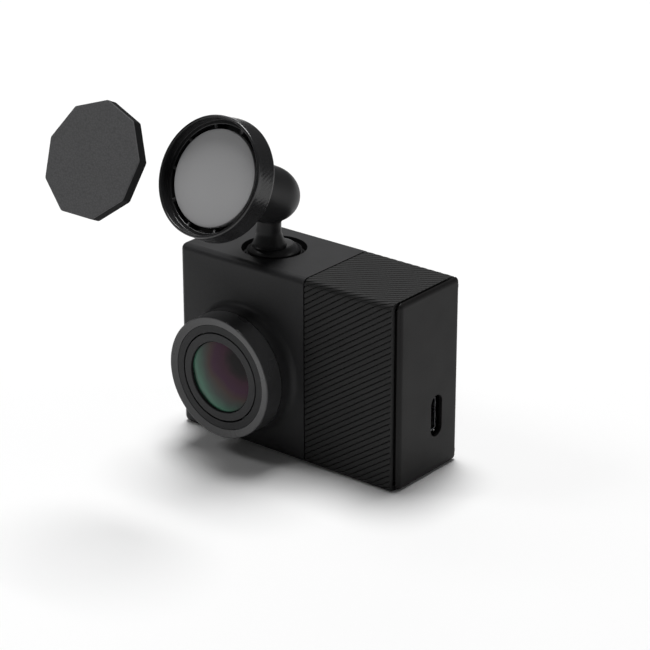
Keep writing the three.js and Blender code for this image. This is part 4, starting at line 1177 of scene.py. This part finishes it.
# ---- Mount ----
class DASHCAM_OT_foot(bpy.types.Operator):
    """Socket plate in the recess and the magnetic foot with its domed top"""

    bl_idname = "dashcam.foot"
    bl_label = "Foot"

    # Millimetres
    RECESS_DEPTH = 2.6
    EDGE_HEIGHT = 1.5
    FLAT_RADIUS = 3.2  # flat top of the foot's dome

    def execute(self, context):
        place = Matrix.Translation(FOOT_CENTRE)
        low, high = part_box("mount_socket")
        radius = (high.x - low.x) / 2 / MM
        bottom, top = low.z / MM, high.z / MM
        floor = TOP / MM - self.RECESS_DEPTH
        foot_low, foot_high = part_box("foot_dome")
        foot_radius = (foot_high.x - foot_low.x) / 2 / MM
        socket = turned("socket_plate", [
            (0, bottom), (radius, bottom, 0.2), (radius, top, 0.1), (foot_radius + 0.62, top, 0.25),
            (foot_radius + 0.3, floor, 0.2), (0, floor),
        ], place, 96)
        hand_over(smooth(socket), "mount_socket")
        base, tip = foot_low.z / MM, foot_high.z / MM + 0.2
        shoulder = base + self.EDGE_HEIGHT
        hole = span("foot_magnet").x / 2 / MM + 0.3
        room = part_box("foot_magnet")[1].z / MM + 0.3
        dome = []
        for i in range(9):
            angle = math.pi / 2 * i / 8
            dome.append((
                self.FLAT_RADIUS + (foot_radius - 0.6 - self.FLAT_RADIUS) * math.cos(angle),
                shoulder - 0.15 + (tip - shoulder + 0.15) * math.sin(angle),
            ))
        foot = turned("magnetic_foot", [
            (hole, base), (foot_radius, base, 0.15), (foot_radius, shoulder, 0.22),
            (foot_radius - 0.45, shoulder, 0.12), (foot_radius - 0.65, shoulder - 0.25, 0.1),
            *dome, (0, tip), (0, room), (hole, room), (hole, base),
        ], place, 96)
        hand_over(smooth(foot), "foot_dome")
        return {"FINISHED"}


class DASHCAM_OT_arm(bpy.types.Operator):
    """Neck and domed hub, run into each other with a small fillet, and the collar in the hub"""

    bl_idname = "dashcam.arm"
    bl_label = "Arm"

    # Millimetres. The hub's stations are behind the head's rim.
    HUB_RADIUS = 5.9
    HUB_TIP = 28.1
    HUB_DOME = 7.8
    HUB_MOUTH = 9.0
    NECK_FORWARD = 1.7  # neck in front of the foot's axis
    RELAX_STEPS = 24  # how far the corner between hub and neck is rounded

    def execute(self, context):
        hub_radius, hub_tip, hub_dome, mouth = self.HUB_RADIUS, self.HUB_TIP, self.HUB_DOME, self.HUB_MOUTH
        dome = []
        for i in range(1, 15):
            angle = math.pi / 2 * i / 15
            dome.append((
                hub_radius * math.cos(angle), -(hub_tip - hub_dome) - hub_dome * math.sin(angle),
            ))
        hub = turned("mount_arm_part", [
            (0, -mouth), (hub_radius, -mouth, 0.3), (hub_radius, -(hub_tip - hub_dome)),
            *dome, (0, -hub_tip),
        ], HEAD_PLACE, 96)
        neck_y = FOOT_CENTRE.y - self.NECK_FORWARD * MM
        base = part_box("mount_arm")[0].z / MM
        neck = turned("neck", [
            (0, base), (3.9, base), (3.4, base + 0.4, 0.4), (2.6, base + 2.9, 2.2), (2.55, 50),
            (2.7, (RIM_CENTRE.z - 9.5 * MM) / MM), (0, (RIM_CENTRE.z - 9.5 * MM) / MM),
        ], Matrix.Translation((FOOT_CENTRE.x, neck_y, 0)), 64)
        combine(hub, neck, "UNION")
        self.fillet(hub)
        combine(hub, rod("bore", 4.9 * MM, -21.2 * MM, 0, HEAD_PLACE, 96))
        hand_over(smooth(hub, angle=40), "mount_arm")
        self.collar()
        return {"FINISHED"}

    def fillet(self, arm):
        """Remeshes the joined solids finely and relaxes them, which rounds the corner between them."""
        modify(arm, "REMESH", mode="VOXEL", voxel_size=0.13 * MM)
        modify(arm, "SMOOTH", factor=0.5, iterations=self.RELAX_STEPS)

    def collar(self):
        collar = turned("hub_collar", [
            (3.75, -13.0), (4.6, -13.0), (4.6, -9.0, 0.2), (3.83, -9.0, 0.2), (3.21, -10.7, 0.1),
            (3.75, -13.0),
        ], HEAD_PLACE, 96)
        hand_over(smooth(collar), "socket_collar")


class DASHCAM_OT_head(bpy.types.Operator):
    """Round head with its fluted side, ribbed trough, grey disc and stem"""

    bl_idname = "dashcam.head"
    bl_label = "Head"

    RIM = 12.35
    LIP = 0.6
    DEPTH = 5.03
    FLARE = 0.29  # back edge beyond the rim
    TROUGH = 4.2
    LEDGE_WIDTH = 0.85
    LEDGE_DEPTH = 2.35
    RIBS = 10
    FLUTES_FROM = 0.75  # where the flutes start behind the rim
    FLUTES_SHORT = 1.3  # what the flutes and their start leave of the depth

    def execute(self, context):
        sizes = context.scene.dash_camera_sizes
        disc = span("head_disc").x / 2 / MM
        self.cup(sizes, disc)
        self.disc(disc)
        stem = turned("head_stem_part", [
            (0, -9.05), (2.0, -9.05, 0.15), (2.0, -7.2, 0.3), (3.2, -7.2, 0.2), (3.2, -6.3, 0.1),
            (1.15, -6.3), (1.15, -8.25), (0, -8.25),
        ], HEAD_PLACE, 64)
        hand_over(smooth(stem), "head_stem")
        return {"FINISHED"}

    def cup(self, sizes, disc):
        rim, lip, depth, trough = self.RIM, self.LIP, self.DEPTH, self.TROUGH
        mouth = rim - lip
        ledge = mouth - self.LEDGE_WIDTH
        flare = rim + self.FLARE
        side = []
        rows = 12
        for i in range(rows + 1):
            share = i / rows
            side.append((
                rim + self.FLARE * share, -self.FLUTES_FROM - (depth - self.FLUTES_SHORT) * share,
            ))
        cup = turned("round_head", [
            (1.15, -6.0), (1.15, -4.7), (2.1, -4.7), (2.1, -3.6), (disc - 0.3, -3.6),
            (disc - 0.3, -trough), (ledge, -trough, 0.1), (ledge, -self.LEDGE_DEPTH, 0.2),
            (mouth, -self.LEDGE_DEPTH, 0.1), (mouth, 0, 0.2), (rim, 0, 0.4),
            *side, (flare, -depth + 0.1, 0.25), (flare - 0.35, -depth, 0.2), (7.0, -6.0, 0.4),
            (1.15, -6.0),
        ], Matrix.Identity(4), 4 * sizes.knurl_count)
        self.flute(cup, sizes)
        rib_top = -self.LEDGE_DEPTH - 0.05
        for i in range(self.RIBS):
            rib = block(
                "rib", Vector((-0.4, disc + 0.3, -trough - 0.2)) * MM,
                Vector((0.4, ledge + 0.4, rib_top)) * MM,
            )
            bevel_edges(rib, lambda a, b: near(a.z, rib_top * MM) and near(b.z, rib_top * MM), 0.15 * MM, 2)
            combine(cup, put(rib, Matrix.Rotation(2 * math.pi * (i + 0.5) / self.RIBS, 4, "Z")), "UNION")
        put(cup, HEAD_PLACE)
        hand_over(smooth(cup, angle=42), "head_cup")

    def flute(self, cup, sizes):
        """Presses slanting flutes into the side, four columns of faces to each."""
        top = -self.FLUTES_FROM * MM
        bottom = top - (self.DEPTH - self.FLUTES_SHORT) * MM
        with editing(cup):
            mesh = bmesh.from_edit_mesh(cup.data)
            for vert in mesh.verts:
                radius = vert.co.xy.length
                if radius < (self.RIM - 0.02) * MM or not bottom - 0.01 * MM < vert.co.z < top + 0.01 * MM:
                    continue
                angle = math.atan2(vert.co.y, vert.co.x)
                slant = (vert.co.z - top) / (1.1 * MM)
                wave = 0.5 - 0.5 * math.cos(sizes.knurl_count * angle + 2 * math.pi * slant)
                fade = min(1, (top - vert.co.z) / (0.5 * MM), (vert.co.z - bottom) / (0.5 * MM))
                sunk = sizes.knurl_depth * wave * max(0, fade)
                vert.co.xy *= (radius - sunk) / radius
            bmesh.update_edit_mesh(cup.data)

    def disc(self, radius):
        front, back = -DISC_DEPTH / MM, -(DISC_DEPTH + DISC_THICKNESS) / MM
        plate = turned("grey_disc", [
            (0, back), (radius, back, 0.1), (radius, front, 0.18), (radius - 1, front), (0, front),
        ], HEAD_PLACE, 128)
        hand_over(smooth(plate), "head_disc")


class DASHCAM_OT_pad(bpy.types.Operator):
    """Nine-sided adhesive pad of grained foam"""

    bl_idname = "dashcam.pad"
    bl_label = "Pad"

    RADIUS = 11.4
    THICKNESS = 2.3
    SIDES = 9

    def execute(self, context):
        deselect()
        half = self.THICKNESS / 2 * MM
        bpy.ops.mesh.primitive_cylinder_add(
            vertices=self.SIDES, radius=self.RADIUS * MM, depth=self.THICKNESS * MM
        )
        pad = added("foam_pad")
        put(pad, Matrix.Rotation(self.corner_turn(pad), 4, "Z"))
        bevel_edges(pad, along_z, 0.3 * MM, 4)
        bevel_edges(pad, lambda a, b: near(abs(a.z), half) and near(a.z, b.z), 0.14 * MM, 3)
        centre = PAD_FACE - HEAD_AXIS * half
        put(pad, Matrix.Translation(centre) @ Matrix.Rotation(HEAD_TURN, 4, "X"))
        hand_over(smooth(pad), "adhesive_pad")
        return {"FINISHED"}

    def corner_turn(self, pad):
        """The turn that brings a corner of the new cylinder to the top."""
        corner = max(pad.data.vertices, key=lambda v: v.co.y)
        return math.pi / 2 - math.atan2(corner.co.y, corner.co.x)


class DASHCAM_OT_inner_parts(bpy.types.Operator):
    """Finishes for the CAD pieces that stay as they are"""

    bl_idname = "dashcam.inner_parts"
    bl_label = "Inner parts"

    def execute(self, context):
        for name, part in frame["nodes"].items():
            if part.hide_render:
                continue
            part.data.materials.clear()
            part.data.materials.append(finish_for(SLOT_OF[name]))
        return {"FINISHED"}


OPERATORS = (
    DASHCAM_OT_stage, DASHCAM_OT_housing, DASHCAM_OT_wrap, DASHCAM_OT_end_cap, DASHCAM_OT_back,
    DASHCAM_OT_lens, DASHCAM_OT_foot, DASHCAM_OT_arm, DASHCAM_OT_head, DASHCAM_OT_pad,
    DASHCAM_OT_inner_parts,
)


class DASHCAM_PT_panel(bpy.types.Panel):
    """Sizes, colours and the operators that build each group of pieces"""

    bl_idname = "DASHCAM_PT_panel"
    bl_label = "Dash Camera"
    bl_space_type = "VIEW_3D"
    bl_region_type = "UI"
    bl_category = "Dash Camera"

    def draw(self, context):
        for group in (context.scene.dash_camera_sizes, context.scene.dash_camera_colours):
            box = self.layout.box()
            for name in group.__annotations__:
                box.prop(group, name)
        for operator in OPERATORS:
            self.layout.operator(operator.bl_idname)


CLASSES = (DashCameraSizes, DashCameraColours, *OPERATORS, DASHCAM_PT_panel)


def register():
    for cls in CLASSES:
        bpy.utils.register_class(cls)
    bpy.types.Scene.dash_camera_sizes = PointerProperty(type=DashCameraSizes)
    bpy.types.Scene.dash_camera_colours = PointerProperty(type=DashCameraColours)


def unregister():
    del bpy.types.Scene.dash_camera_colours
    del bpy.types.Scene.dash_camera_sizes
    for cls in reversed(CLASSES):
        bpy.utils.unregister_class(cls)


def main():
    register()
    for operator in OPERATORS:
        group, name = operator.bl_idname.split(".")
        getattr(getattr(bpy.ops, group), name)()


if __name__ == "__main__":
    main()
